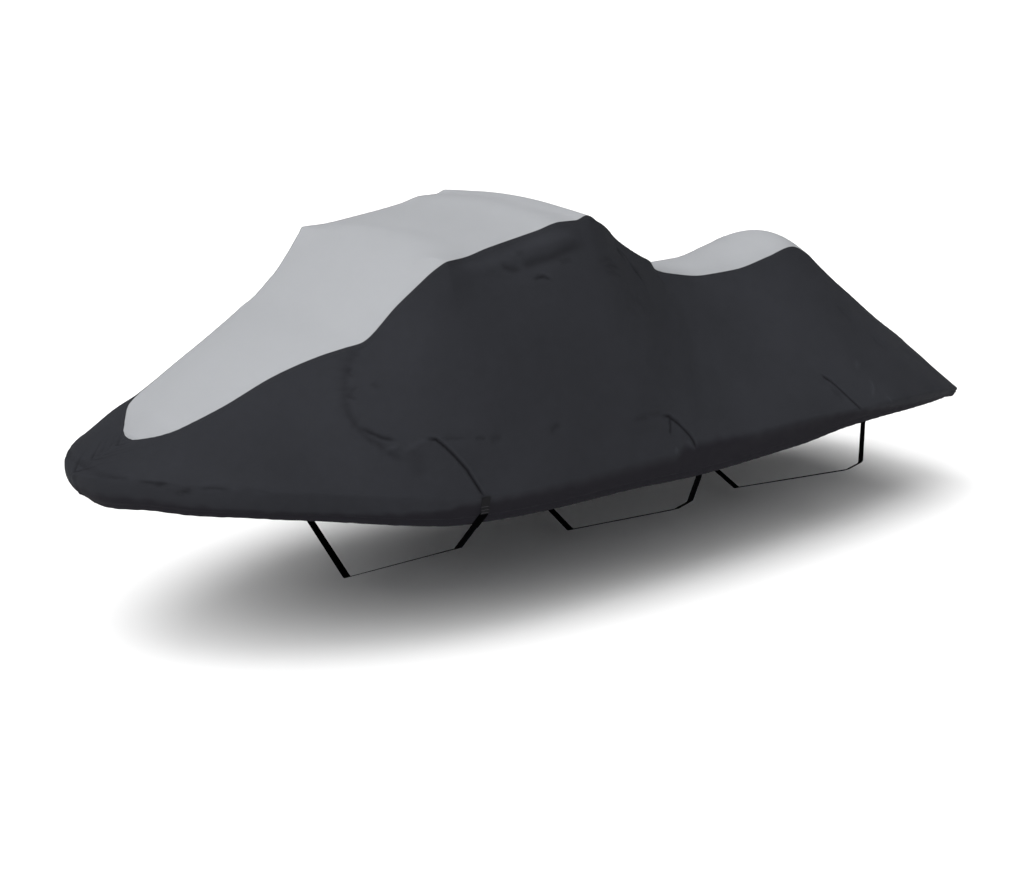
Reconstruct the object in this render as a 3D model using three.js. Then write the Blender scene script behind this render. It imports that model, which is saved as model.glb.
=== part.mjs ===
// A fitted cover for a personal watercraft, in the shape it keeps when it is strapped over one.
// A pale centre panel runs from the bow over the handlebars and the seat to the stern.
// A dark side panel on each side wraps round bow and stern and ends in an elastic hem.
// Three webbing straps pass underneath from hem to hem.
// Millimetres. The bow points to -X, port is -Y and +Z is up.

import * as THREE from "three";

const CLOTH = 2;
const HEM_CLOTH = 4;
const SEAM_GAP = 0.3;
const LONGEST_STEP = 42; // longest distance between two cross-sections

const STRAP_WIDTH = 25;
const STRAP_THICKNESS = 1.8;
const STRAP_CLEARANCE = 0.4; // between a strap's end and the hem it is sewn to
const STRAP_BEND = 16; // radius at which a strap turns over an edge
const MOST_OF_A_RUN = 0.45; // share of a straight run that a bend may take up
const STEPS_IN_A_BEND = 4;
const STRAP_LIP = 8; // how far a strap runs straight on below the hem

// Stations number the cross-sections from bow to stern. Between the two ends a station is the
// distance of the seam from the handlebars; at the ends the sections fan round the centre line.
const BOW = -1450;
const STERN = 1700;
const TIP = -1430; // where the pale panel's rounded end begins
const TAIL = 1685; // where its stern end stops

// The port seam between pale and dark cloth, and how far the pale cloth rises between the seams.
const SEAM_COLUMNS = ["station", "x", "half", "z", "crown"];
const SEAM = [
  [-1450, -1296, 0, 609, 0],
  [-1430, -1295, 22, 611, -2],
  [-1395, -1288, 50, 618, 0],
  [-1345, -1272, 80, 626, 1],
  [-1300, -1254, 112, 637, 3],
  [-1240, -1220, 158, 660, 6],
  [-1110, -1108, 198, 713, 16],
  [-980, -980, 225, 776, 27],
  [-860, -860, 271, 825, 34],
  [-800, -802, 303, 845, 36],
  [-750, -753, 328, 862, 32],
  [-665, -666, 328, 931, 29],
  [-600, -600, 346, 991, 29],
  [-545, -545, 370, 1042, 30],
  [-520, -520, 385, 1060, 30],
  [-465, -463, 377, 1063, 29],
  [-365, -366, 358, 1078, 28],
  [-190, -189, 347, 1107, 25],
  [-105, -104, 349, 1125, 25],
  [-50, -50, 353, 1125, 26],
  [-12, -12, 354, 1136, 25],
  [38, 38, 346, 1112, 27],
  [105, 105, 305, 1083, 32],
  [160, 160, 282, 1044, 34],
  [240, 240, 252, 1001, 32],
  [316, 316, 222, 966, 28],
  [385, 385, 188, 938, 22],
  [440, 440, 158, 900, 16],
  [520, 519, 147, 878, 14],
  [660, 660, 144, 857, 16],
  [800, 800, 144, 860, 21],
  [950, 950, 150, 889, 28],
  [1056, 1056, 151, 912, 36],
  [1130, 1130, 152, 884, 42],
  [1185, 1184, 168, 833, 38],
  [1240, 1240, 188, 780, 30],
  [1300, 1298, 205, 731, 22],
  [1420, 1415, 233, 634, 10],
  [1500, 1545, 258, 538, 5],
  [1580, 1600, 235, 485, 2],
  [1640, 1621, 170, 463, 0],
  [1685, 1628, 60, 456, 0],
  [1700, 1629, 0, 455, 0],
];

// The gunwale line, where the flank turns over into the hem band.
const RAIL_COLUMNS = ["station", "x", "half", "z"];
const RAIL = [
  [-1450, -1459, 0, 541],
  [-1395, -1449, 74, 550],
  [-1345, -1416, 150, 557],
  [-1300, -1365, 216, 561],
  [-1240, -1290, 294, 553],
  [-1110, -1140, 406, 534],
  [-980, -1000, 472, 517],
  [-800, -795, 546, 484],
  [-600, -590, 590, 448],
  [-400, -390, 612, 445],
  [-100, -90, 625, 453],
  [240, 250, 624, 460],
  [660, 655, 607, 465],
  [950, 940, 583, 451],
  [1130, 1130, 561, 444],
  [1240, 1265, 541, 436],
  [1340, 1410, 509, 424],
  [1430, 1550, 470, 406],
  [1500, 1654, 422, 383],
  [1580, 1680, 318, 385],
  [1640, 1688, 180, 387],
  [1700, 1690, 0, 388],
];

// The hem below the gunwale line: how far it drops, how far it is drawn in at its foot, and how
// far it stands proud of a straight band half way down.
const HEM_COLUMNS = ["station", "drop", "tuck", "belly"];
const HEM = [
  [-1450, 80, 42, 16],
  [-1345, 92, 30, 13],
  [-1240, 90, 24, 11],
  [-1110, 80, 22, 9],
  [-800, 80, 18, 4],
  [-600, 70, 16, 0],
  [-100, 74, 17, 0],
  [240, 88, 17, 0],
  [660, 84, 17, 0],
  [950, 56, 18, 0],
  [1340, 46, 18, 0],
  [1500, 30, 16, 0],
  [1700, 30, 22, 0],
];

// How far the flank stands proud of a straight line, a third and two thirds of the way down.
const FLANK_COLUMNS = ["station", "upper", "lower"];
const FLANK = [
  [-1450, 2, 3],
  [-1345, 0, 2],
  [-1300, 3, 5],
  [-1220, 10, 11],
  [-1110, 5, 5],
  [-980, 3, 0],
  [-870, 4, 0],
  [-750, 9, 17],
  [-520, 20, 24],
  [-190, 22, 20],
  [38, 16, 14],
  [240, -2, 6],
  [440, -14, 2],
  [660, -12, 2],
  [1056, -8, 2],
  [1340, -2, 2],
  [1500, 6, 3],
  [1580, 5, 3],
  [1700, 2, 2],
];

// Makes each of the flank's two cubic bumps one high at its peak.
const BUMP_SCALE = 6.75;

// How far along the seam its corners are evened out, and how fast that sets in down the flank.
const SOFT_REACH = 170;
const SOFT_POWER = 3.5;

// Where the console pushes the cloth out: the forward edge of the bulge down the flank.
const BULGE_PROUD = 12;
const BULGE_SOFTNESS = 60;
const BULGE_FOOT = 0.87; // share of the flank at which the bulge has died out
const BULGE_FADES = -100;
const BULGE_ENDS = 250;
const BULGE_EDGE_COLUMNS = ["share", "x"];
const BULGE_EDGE = [
  [0, -753],
  [0.2, -868],
  [0.4, -895],
  [0.6, -862],
  [0.85, -720],
  [1, -600],
];

// Tension creases seen from the side, each from one end to the other with its greatest depth.
const CREASE_COLUMNS = ["fromX", "fromZ", "toX", "toZ", "depth", "width"];
const CREASES = {
  frontStrap: [-665, 612, -555, 470, 5, 20],
  middleStrap: [130, 568, 212, 474, 4, 18],
  rearStrap: [845, 568, 992, 440, 5, 20],
};

// Shares of the way across each stretch of a cross-section at which it has a point.
const CROWN_SHARES = [0, 0.27, 0.52, 0.76, 1];
const FLANK_SHARES = [0, 0.07, 0.17, 0.29, 0.42, 0.55, 0.68, 0.8, 0.91, 0.97];
const HEM_SHARES = [0.12, 0.5, 0.8, 1];
const RAIL_ROUNDING = 3; // how far the turn at the gunwale is rounded off

// Straps: where each leaves the hem, how far up the hem it is sewn, on which face, and the
// points at which it turns on its way to the middle of the underside. One that slants hangs
// straight from its top to the hinge, and then runs that far towards the bow for each step down.
const STRAPS = {
  front_strap: {
    x: -550,
    rise: 46,
    hinge: 29,
    slant: 0.78,
    outside: true,
    turns: [
      { x: -590, half: 520, z: 296 },
      { x: -632, half: 0, z: 62 },
    ],
  },
  middle_strap: {
    x: 230,
    rise: 40,
    hinge: 0,
    slant: 0,
    outside: false,
    turns: [
      { x: 230, half: 566, z: 280 },
      { x: 230, half: 506, z: 239 },
      { x: 230, half: 0, z: 32 },
    ],
  },
  rear_strap: {
    x: 1013,
    rise: 34,
    hinge: 0,
    slant: 0,
    outside: false,
    turns: [
      { x: 1003, half: 556, z: 258 },
      { x: 1000, half: 502, z: 220 },
      { x: 996, half: 0, z: 30 },
    ],
  },
};

// Monotone cubic curves through the rows of a table, one for each named column.
function curvesOf(columns, rows) {
  const at = rows.map((row) => row[0]);
  const curves = {};
  columns.slice(1).forEach((name, index) => {
    curves[name] = monotoneCubic(at, rows.map((row) => row[index + 1]));
  });
  return curves;
}

function monotoneCubic(at, values) {
  const last = at.length - 1;
  const slopes = [];
  for (let i = 0; i < last; i++) {
    slopes.push((values[i + 1] - values[i]) / (at[i + 1] - at[i]));
  }
  const tangents = values.map((_, i) => {
    if (i === 0) return slopes[0];
    if (i === last) return slopes[last - 1];
    const before = slopes[i - 1];
    const after = slopes[i];
    if (before * after <= 0) return 0;
    const stepBefore = at[i] - at[i - 1];
    const stepAfter = at[i + 1] - at[i];
    const weightBefore = 2 * stepAfter + stepBefore;
    const weightAfter = stepAfter + 2 * stepBefore;
    return (
      (weightBefore + weightAfter) / (weightBefore / before + weightAfter / after)
    );
  });
  return (s) => {
    const place = THREE.MathUtils.clamp(s, at[0], at[last]);
    let i = 0;
    while (i < last - 1 && place > at[i + 1]) i++;
    const step = at[i + 1] - at[i];
    const t = (place - at[i]) / step;
    const t2 = t * t;
    const t3 = t2 * t;
    return (
      (2 * t3 - 3 * t2 + 1) * values[i] +
      (t3 - 2 * t2 + t) * step * tangents[i] +
      (3 * t2 - 2 * t3) * values[i + 1] +
      (t3 - t2) * step * tangents[i + 1]
    );
  };
}

const seam = curvesOf(SEAM_COLUMNS, SEAM);
const rail = curvesOf(RAIL_COLUMNS, RAIL);
const hem = curvesOf(HEM_COLUMNS, HEM);
const flank = curvesOf(FLANK_COLUMNS, FLANK);
const bulgeEdge = curvesOf(BULGE_EDGE_COLUMNS, BULGE_EDGE);

function seamPoint(s) {
  return new THREE.Vector3(seam.x(s), -seam.half(s), seam.z(s));
}

function railPoint(s) {
  return new THREE.Vector3(rail.x(s), -rail.half(s), rail.z(s));
}

// The seam with its corners evened out, which the flank follows further down.
function softSeamPoint(s) {
  const point = new THREE.Vector3();
  const spread = Math.min(SOFT_REACH, s - BOW, STERN - s);
  const shares = [-1, -0.6, -0.2, 0.2, 0.6, 1];
  shares.forEach((share) => point.add(seamPoint(s + share * spread)));
  return point.divideScalar(shares.length);
}

// The horizontal direction that points out of the hull at the gunwale line.
function outwardAt(s) {
  const reach = 12; // to either side of the station
  if (s - reach <= BOW) return new THREE.Vector3(-1, 0, 0);
  if (s + reach >= STERN) return new THREE.Vector3(1, 0, 0);
  const along = railPoint(s + reach).sub(railPoint(s - reach));
  return new THREE.Vector3(along.y, -along.x, 0).normalize();
}

function hemPoint(s) {
  const point = railPoint(s).addScaledVector(outwardAt(s), -hem.tuck(s));
  point.z -= hem.drop(s);
  return point;
}

// Height of the cloth's creases at a place seen from the side: negative is a trough.
function creaseDepth(x, z) {
  let depth = 0;
  for (const row of Object.values(CREASES)) {
    const [fromX, fromZ, toX, toZ, deepest, width] = row;
    const runX = toX - fromX;
    const runZ = toZ - fromZ;
    const along =
      ((x - fromX) * runX + (z - fromZ) * runZ) / (runX * runX + runZ * runZ);
    const t = THREE.MathUtils.clamp(along, 0, 1);
    const away = Math.hypot(x - fromX - t * runX, z - fromZ - t * runZ) / width;
    depth -= deepest * Math.exp(-away * away);
  }
  return depth;
}

// How far the console pushes the cloth out, a share of the way down the flank.
function bulgeOut(x, share) {
  const edge = bulgeEdge.x(share);
  const rise = THREE.MathUtils.smoothstep(x, edge, edge + BULGE_SOFTNESS);
  const fall = THREE.MathUtils.smoothstep(x, BULGE_FADES, BULGE_ENDS);
  const downFlank = Math.sin(Math.PI * Math.min(1, share / BULGE_FOOT));
  return BULGE_PROUD * rise * (1 - fall) * downFlank;
}

// A point of the flank, a share of the way down from the seam to the gunwale line.
function flankPoint(s, share) {
  const from = softSeamPoint(s);
  const corner = seamPoint(s).sub(from);
  const down = railPoint(s).sub(from);
  const across = new THREE.Vector3(down.x, down.y, 0);
  const proud = across
    .clone()
    .normalize()
    .multiplyScalar(-down.z)
    .add(new THREE.Vector3(0, 0, across.length()))
    .normalize();
  const point = from.addScaledVector(down, share);
  const rest = 1 - share;
  const bumps = flank.upper(s) * rest + flank.lower(s) * share;
  let out = BUMP_SCALE * share * rest * bumps;
  out += bulgeOut(point.x, share);
  point.addScaledVector(corner, rest ** SOFT_POWER);
  return point.addScaledVector(proud, out + creaseDepth(point.x, point.z));
}

// One cross-section of the port half, from the centre line to the foot of the hem.
function sectionPoints(s) {
  const edge = seamPoint(s);
  const points = CROWN_SHARES.map((share) => {
    const rise = seam.crown(s) * (1 - share * share);
    return new THREE.Vector3(edge.x, edge.y * share, edge.z + rise);
  });
  FLANK_SHARES.slice(1).forEach((share) => points.push(flankPoint(s, share)));
  const turn = railPoint(s);
  const foot = hemPoint(s);
  const outward = outwardAt(s);
  HEM_SHARES.forEach((share) => {
    const point = turn.clone().lerp(foot, share);
    const proud = 4 * hem.belly(s) * share * (1 - share);
    const rounding = RAIL_ROUNDING * (1 - share) ** 2;
    points.push(point.addScaledVector(outward, proud - rounding));
  });
  return points;
}

// Stations: every row of the seam table, with even steps between them.
function stationList() {
  const stations = [BOW];
  for (let i = 1; i < SEAM.length; i++) {
    const from = SEAM[i - 1][0];
    const to = SEAM[i][0];
    const reach = Math.max(
      seamPoint(from).distanceTo(seamPoint(to)),
      railPoint(from).distanceTo(railPoint(to)),
    );
    const steps = Math.max(1, Math.round(reach / LONGEST_STEP));
    for (let k = 1; k <= steps; k++) {
      stations.push(from + ((to - from) * k) / steps);
    }
  }
  return stations;
}

const stations = stationList();
const seamColumn = CROWN_SHARES.length - 1;
const outer = stations.map(sectionPoints);
const columnCount = outer[0].length;

// Normals of the outer face, worked out from each point's neighbours.
const normals = outer.map((row, i) =>
  row.map((_, j) => {
    const ahead = outer[Math.min(i + 1, outer.length - 1)][j];
    const behind = outer[Math.max(i - 1, 0)][j];
    const below = row[Math.min(j + 1, columnCount - 1)];
    const above = j > 0 ? row[j - 1] : mirrored(row[1]);
    const along = ahead.clone().sub(behind);
    const across = below.clone().sub(above);
    const normal = across.cross(along);
    if (j === 0 || i === 0 || i === outer.length - 1) normal.y = 0;
    if (normal.lengthSq() < 1e-6) normal.set(0, 0, 1);
    return normal.normalize();
  }),
);

function mirrored(point) {
  return new THREE.Vector3(point.x, -point.y, point.z);
}

function thicknessAt(column) {
  const fromFoot = columnCount - 1 - column;
  return fromFoot < 2 ? HEM_CLOTH : CLOTH;
}

const inner = outer.map((row, i) =>
  row.map((point, j) =>
    point.clone().addScaledVector(normals[i][j], -thicknessAt(j)),
  ),
);

// A closed sheet from a grid of outer points and a grid of inner points.
function sheetGeometry(outerGrid, innerGrid) {
  const rows = outerGrid.length;
  const columns = outerGrid[0].length;
  const positions = [...outerGrid.flat(), ...innerGrid.flat()].flatMap((p) => [
    p.x,
    p.y,
    p.z,
  ]);
  const outerAt = (i, j) => i * columns + j;
  const innerAt = (i, j) => rows * columns + i * columns + j;
  const indices = [];
  const face = (a, b, c, d) => indices.push(a, b, c, a, c, d);
  for (let i = 0; i + 1 < rows; i++) {
    for (let j = 0; j + 1 < columns; j++) {
      face(outerAt(i, j), outerAt(i, j + 1), outerAt(i + 1, j + 1), outerAt(i + 1, j));
      face(innerAt(i, j), innerAt(i + 1, j), innerAt(i + 1, j + 1), innerAt(i, j + 1));
    }
    face(outerAt(i, 0), outerAt(i + 1, 0), innerAt(i + 1, 0), innerAt(i, 0));
    const end = columns - 1;
    face(outerAt(i + 1, end), outerAt(i, end), innerAt(i, end), innerAt(i + 1, end));
  }
  for (let j = 0; j + 1 < columns; j++) {
    const end = rows - 1;
    face(outerAt(0, j + 1), outerAt(0, j), innerAt(0, j), innerAt(0, j + 1));
    face(outerAt(end, j), outerAt(end, j + 1), innerAt(end, j + 1), innerAt(end, j));
  }
  const geometry = new THREE.BufferGeometry();
  geometry.setAttribute("position", new THREE.Float32BufferAttribute(positions, 3));
  geometry.setIndex(indices);
  geometry.computeVertexNormals();
  return geometry;
}

// Half of the seam's gap, along the cloth from one point towards another.
function drawnBack(point, towards) {
  const step = towards.clone().sub(point).setLength(SEAM_GAP / 2);
  return point.clone().add(step);
}

function sidePanelGrid(grid) {
  return grid.map((row, i) => {
    const line = row.slice(seamColumn).map((point) => point.clone());
    line[0] = drawnBack(line[0], line[1]);
    if (i === 0 || i === grid.length - 1) {
      line.forEach((point) => (point.y = -SEAM_GAP / 2));
    }
    return line;
  });
}

function centrePanelGrid(grid) {
  const half = grid
    .filter((_, i) => stations[i] >= TIP && stations[i] <= TAIL)
    .map((row) => {
      const line = row.slice(0, seamColumn + 1).map((point) => point.clone());
      line[seamColumn] = drawnBack(line[seamColumn], line[seamColumn - 1]);
      return line;
    });
  return half.map((line) => {
    const starboard = line.slice(1).reverse().map(mirrored);
    return [...starboard, ...line];
  });
}

function starboardGrid(grid) {
  return grid.map((line) => line.map(mirrored).reverse());
}

// A path's points with its corners turned on a radius, in the plane of the strap.
function roundedPath(points, radius) {
  const turned = [points[0]];
  for (let i = 1; i + 1 < points.length; i++) {
    const before = points[i - 1].clone().sub(points[i]);
    const after = points[i + 1].clone().sub(points[i]);
    const half = before.angleTo(after) / 2;
    const reach = Math.min(
      radius / Math.tan(half),
      before.length() * MOST_OF_A_RUN,
      after.length() * MOST_OF_A_RUN,
    );
    const start = points[i].clone().addScaledVector(before.normalize(), reach);
    const end = points[i].clone().addScaledVector(after.normalize(), reach);
    const curve = new THREE.QuadraticBezierCurve3(start, points[i], end);
    turned.push(...curve.getPoints(STEPS_IN_A_BEND));
  }
  turned.push(points[points.length - 1]);
  return turned;
}

function stationAtRail(x) {
  let low = BOW;
  let high = STERN;
  while (high - low > 0.01) {
    const middle = (low + high) / 2;
    if (rail.x(middle) < x) low = middle;
    else high = middle;
  }
  return low;
}

// Flat webbing from the port hem round the underside to the starboard hem.
function strapGeometry(strap) {
  const s = stationAtRail(strap.x);
  const foot = hemPoint(s);
  const up = railPoint(s).sub(foot).normalize();
  const alongHem = new THREE.Vector3(0, 0, 1).cross(outwardAt(s)).normalize();
  const outOfBand = alongHem.clone().cross(up).normalize();
  const halfThick = STRAP_THICKNESS / 2;
  const offset = strap.outside
    ? STRAP_CLEARANCE + halfThick
    : -(HEM_CLOTH + STRAP_CLEARANCE + halfThick);
  const onBand = (height) => {
    const lead = strap.slant * Math.max(0, strap.hinge - height);
    return foot
      .clone()
      .addScaledVector(up, height)
      .addScaledVector(outOfBand, offset)
      .addScaledVector(alongHem, -lead);
  };
  const heights = strap.slant > 0 ? [strap.rise, strap.hinge] : [strap.rise];
  const turns = strap.turns.map((p) => new THREE.Vector3(p.x, -p.half, p.z));
  const port = [...[...heights, -STRAP_LIP].map(onBand), ...turns];
  const starboard = port.slice(0, -1).reverse().map(mirrored);
  const line = roundedPath([...port, ...starboard], STRAP_BEND);
  const keel = turns[turns.length - 1].z;
  const rows = line.map((point, i) => {
    const before = line[Math.max(i - 1, 0)];
    const after = line[Math.min(i + 1, line.length - 1)];
    const direction = after.clone().sub(before).normalize();
    const share = THREE.MathUtils.clamp((point.z - keel) / (foot.z - keel), 0, 1);
    const hemward = point.y < 0 ? alongHem : mirrored(alongHem);
    const width = new THREE.Vector3(1, 0, 0).lerp(hemward, share);
    const face = width.cross(direction).normalize();
    const side = direction.clone().cross(face).normalize();
    return { point, face, side };
  });
  const gridAt = (depth) =>
    rows.map(({ point, face, side }) =>
      [-1, 1].map((sign) =>
        point
          .clone()
          .addScaledVector(side, (sign * STRAP_WIDTH) / 2)
          .addScaledVector(face, depth),
      ),
    );
  return sheetGeometry(gridAt(halfThick), gridAt(-halfThick));
}

function panelMaterial(color) {
  return new THREE.MeshStandardMaterial({ color, roughness: 0.85, metalness: 0 });
}

const paleCloth = panelMaterial(0xb6b9bc);
const darkCloth = panelMaterial(0x34353a);
const webbing = panelMaterial(0x101012);

function pieceOf(name, geometry, material) {
  const mesh = new THREE.Mesh(geometry, material);
  mesh.name = name;
  return mesh;
}

// The origin lies under the cloth at the middle of the handlebars, where the craft carries it.
const group = new THREE.Group();
group.position.z = -(seam.z(0) + seam.crown(0) - CLOTH);
const portOuter = sidePanelGrid(outer);
const portInner = sidePanelGrid(inner);
group.add(
  pieceOf("port_side_panel", sheetGeometry(portOuter, portInner), darkCloth),
  pieceOf(
    "starboard_side_panel",
    sheetGeometry(starboardGrid(portOuter), starboardGrid(portInner)),
    darkCloth,
  ),
  pieceOf(
    "centre_panel",
    sheetGeometry(centrePanelGrid(outer), centrePanelGrid(inner)),
    paleCloth,
  ),
);
for (const [name, strap] of Object.entries(STRAPS)) {
  group.add(pieceOf(name, strapGeometry(strap), webbing));
}

export default group;
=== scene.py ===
"""The personal watercraft cover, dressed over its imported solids.

Tables and builders work in millimetres above the floor, with the bow to -X, port to -Y and +Z up;
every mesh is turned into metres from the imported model's origin when it is made. Each panel is a
grid of cross-sections, one at each station, that fan round bow and stern.
"""

import logging
import math
from dataclasses import dataclass, field
from enum import Enum
from typing import Any, Callable, Sequence

import bpy
import numpy as np
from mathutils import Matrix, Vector


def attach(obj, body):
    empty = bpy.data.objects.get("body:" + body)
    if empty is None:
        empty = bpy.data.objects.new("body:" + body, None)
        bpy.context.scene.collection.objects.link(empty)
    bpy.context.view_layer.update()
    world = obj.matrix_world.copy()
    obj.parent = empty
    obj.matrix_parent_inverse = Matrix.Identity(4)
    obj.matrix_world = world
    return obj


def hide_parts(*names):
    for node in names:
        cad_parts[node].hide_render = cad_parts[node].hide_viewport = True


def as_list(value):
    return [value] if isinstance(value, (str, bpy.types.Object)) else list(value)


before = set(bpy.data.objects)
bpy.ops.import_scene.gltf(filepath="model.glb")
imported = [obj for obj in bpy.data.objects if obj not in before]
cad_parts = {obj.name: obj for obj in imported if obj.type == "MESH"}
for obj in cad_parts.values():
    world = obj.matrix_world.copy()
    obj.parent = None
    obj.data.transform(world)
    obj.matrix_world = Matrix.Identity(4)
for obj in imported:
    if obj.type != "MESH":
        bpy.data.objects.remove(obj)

log = logging.getLogger("cover")

Array = np.ndarray

MM = 0.001
MIRROR = np.array([1, -1, 1])

# Stations run from the bow's centre seam to the stern's. The pale cloth lies between TIP and TAIL.
BOW = -1450.0
STERN = 1700.0
TIP = -1430.0
TAIL = 1685.0
FINE_STATIONS = np.linspace(BOW, STERN, 6301)

# The port seam between pale and dark cloth, and how far the pale cloth rises between the seams.
SEAM_COLUMNS = ("station", "x", "half", "z", "crown")
SEAM = (
    (-1450, -1296, 0, 609, 0),
    (-1430, -1295, 22, 611, -2),
    (-1395, -1288, 50, 618, 0),
    (-1345, -1272, 80, 626, 1),
    (-1300, -1254, 112, 637, 3),
    (-1240, -1220, 158, 660, 6),
    (-1110, -1108, 198, 713, 16),
    (-980, -980, 225, 776, 27),
    (-860, -860, 271, 825, 34),
    (-800, -802, 303, 845, 36),
    (-750, -753, 328, 862, 32),
    (-665, -666, 328, 931, 29),
    (-600, -600, 346, 991, 29),
    (-545, -545, 370, 1042, 30),
    (-520, -520, 385, 1060, 30),
    (-465, -463, 377, 1063, 29),
    (-365, -366, 358, 1078, 28),
    (-190, -189, 347, 1107, 25),
    (-105, -104, 349, 1125, 25),
    (-50, -50, 353, 1125, 26),
    (-12, -12, 354, 1136, 25),
    (38, 38, 346, 1112, 27),
    (105, 105, 305, 1083, 32),
    (160, 160, 282, 1044, 34),
    (240, 240, 252, 1001, 32),
    (316, 316, 222, 966, 28),
    (385, 385, 188, 938, 22),
    (440, 440, 158, 900, 16),
    (520, 519, 147, 878, 14),
    (660, 660, 144, 857, 16),
    (800, 800, 144, 860, 21),
    (950, 950, 150, 889, 28),
    (1056, 1056, 151, 912, 36),
    (1130, 1130, 152, 884, 42),
    (1185, 1184, 168, 833, 38),
    (1240, 1240, 188, 780, 30),
    (1300, 1298, 205, 731, 22),
    (1420, 1415, 233, 634, 10),
    (1500, 1545, 258, 538, 5),
    (1580, 1600, 235, 485, 2),
    (1640, 1621, 170, 463, 0),
    (1685, 1628, 60, 456, 0),
    (1700, 1629, 0, 455, 0),
)

# The rail line, where the flank turns over into the hem band.
RAIL_COLUMNS = ("station", "x", "half", "z")
RAIL = (
    (-1450, -1459, 0, 541),
    (-1395, -1449, 74, 550),
    (-1345, -1416, 150, 557),
    (-1300, -1365, 216, 561),
    (-1240, -1290, 294, 553),
    (-1110, -1140, 406, 534),
    (-980, -1000, 472, 517),
    (-800, -795, 546, 484),
    (-600, -590, 590, 448),
    (-400, -390, 612, 445),
    (-100, -90, 625, 453),
    (240, 250, 624, 460),
    (660, 655, 607, 465),
    (950, 940, 583, 451),
    (1130, 1130, 561, 444),
    (1240, 1265, 541, 436),
    (1340, 1410, 509, 424),
    (1430, 1550, 470, 406),
    (1500, 1654, 422, 383),
    (1580, 1680, 318, 385),
    (1640, 1688, 180, 387),
    (1700, 1690, 0, 388),
)

# The hem below the rail line: its drop, how far its foot is drawn in, and how far it stands
# proud of a straight band half way down.
HEM_COLUMNS = ("station", "drop", "tuck", "belly")
HEM = (
    (-1450, 80, 42, 16),
    (-1345, 92, 30, 13),
    (-1240, 90, 24, 11),
    (-1110, 80, 22, 9),
    (-800, 80, 18, 4),
    (-600, 70, 16, 0),
    (-100, 74, 17, 0),
    (240, 88, 17, 0),
    (660, 84, 17, 0),
    (950, 56, 18, 0),
    (1340, 46, 18, 0),
    (1500, 30, 16, 0),
    (1700, 30, 22, 0),
)

# Where down the band the cloth has half turned under, and over what share of the band it does;
# below that the band's colour takes painted shade.
TURN_COLUMNS = ("station", "share", "soft")
TURN = (
    (-1450, 0.3, 0.12),
    (-1345, 0.42, 0.12),
    (-1240, 0.55, 0.12),
    (-980, 0.6, 0.1),
    (-800, 0.48, 0.1),
    (-700, 0.3, 0.1),
    (-600, 0.04, 0.18),
    (-100, 0.0, 0.3),
    (100, 0.04, 0.25),
    (145, -0.3, 0.2),
    (330, -0.28, 0.22),
    (450, -0.05, 0.33),
    (950, 0.0, 0.22),
    (1100, 0.3, 0.2),
    (1340, 0.6, 0.15),
    (1700, 0.65, 0.15),
)

# Stretches along the rail line where narrow folds need more cross-sections, how many more, and how
# far it takes for them to get closer.
BUSY_STRETCHES = ((-670, -525), (85, 215), (865, 1005))
BUSY_SHARE = 2.3
BUSY_MARGIN = 30.0

# How far the flank stands proud of a straight line, a third and two thirds of the way down.
FLANK_COLUMNS = ("station", "upper", "lower")
FLANK = (
    (-1450, 2, 3),
    (-1345, 0, 2),
    (-1300, 3, 5),
    (-1220, 10, 11),
    (-1110, 5, 5),
    (-980, 3, 0),
    (-870, 4, 0),
    (-750, 9, 17),
    (-520, 20, 24),
    (-190, 22, 20),
    (38, 16, 14),
    (240, -2, 6),
    (440, -14, 2),
    (660, -12, 2),
    (1056, -8, 2),
    (1340, -2, 2),
    (1500, 6, 3),
    (1580, 5, 3),
    (1700, 2, 2),
)

# The forward edge of the flank's bulge, at shares of the way down the flank.
BULGE_EDGE_COLUMNS = ("share", "x")
BULGE_EDGE = ((0, -753), (0.2, -868), (0.4, -895), (0.6, -862), (0.85, -720), (1, -600))


class Side(Enum):
    """Which side of the centre line a piece is on, as the sign of its Y."""

    PORT = -1
    STARBOARD = 1


class Curves:
    """Monotone cubic curves through the rows of a table, one for each column after the first."""

    def __init__(self, columns: Sequence[str], rows: Sequence[Sequence[float]]) -> None:
        """Works out the slope of each column at each row.

        Args:
            columns: The columns' names; the first is the place along the curves.
            rows: The table's rows, in order along the curves.
        """
        table = np.array(rows, float)
        self.at = table[:, 0]
        self.values = {name: table[:, i + 1] for i, name in enumerate(columns[1:])}
        self.slopes = {name: self._slopes(value) for name, value in self.values.items()}

    def _slopes(self, value: Array) -> Array:
        """Slopes that keep the curve from passing beyond its rows.

        Args:
            value: One column's numbers.

        Returns:
            The slope at each row.
        """
        step = np.diff(self.at)
        rise = np.diff(value) / step
        slope = np.concatenate([rise[:1], np.zeros(len(step) - 1), rise[-1:]])
        before, after = rise[:-1], rise[1:]
        weight_before = 2 * step[1:] + step[:-1]
        weight_after = step[1:] + 2 * step[:-1]
        same_way = before * after > 0
        safe_before = np.where(same_way, before, 1)
        safe_after = np.where(same_way, after, 1)
        mean = (weight_before + weight_after) / (
            weight_before / safe_before + weight_after / safe_after
        )
        slope[1:-1] = np.where(same_way, mean, 0)
        return slope

    def __call__(self, name: str, place: Array | float) -> Array:
        """One column's value at each place.

        Args:
            name: The column.
            place: Where along the curves.

        Returns:
            The values, in the shape of place.
        """
        s = np.clip(place, self.at[0], self.at[-1])
        i = np.clip(np.searchsorted(self.at, s, side="right") - 1, 0, len(self.at) - 2)
        step = self.at[i + 1] - self.at[i]
        t = (s - self.at[i]) / step
        value, slope = self.values[name], self.slopes[name]
        return (
            (2 * t**3 - 3 * t**2 + 1) * value[i]
            + (t**3 - 2 * t**2 + t) * step * slope[i]
            + (3 * t**2 - 2 * t**3) * value[i + 1]
            + (t**3 - t**2) * step * slope[i + 1]
        )


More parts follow.
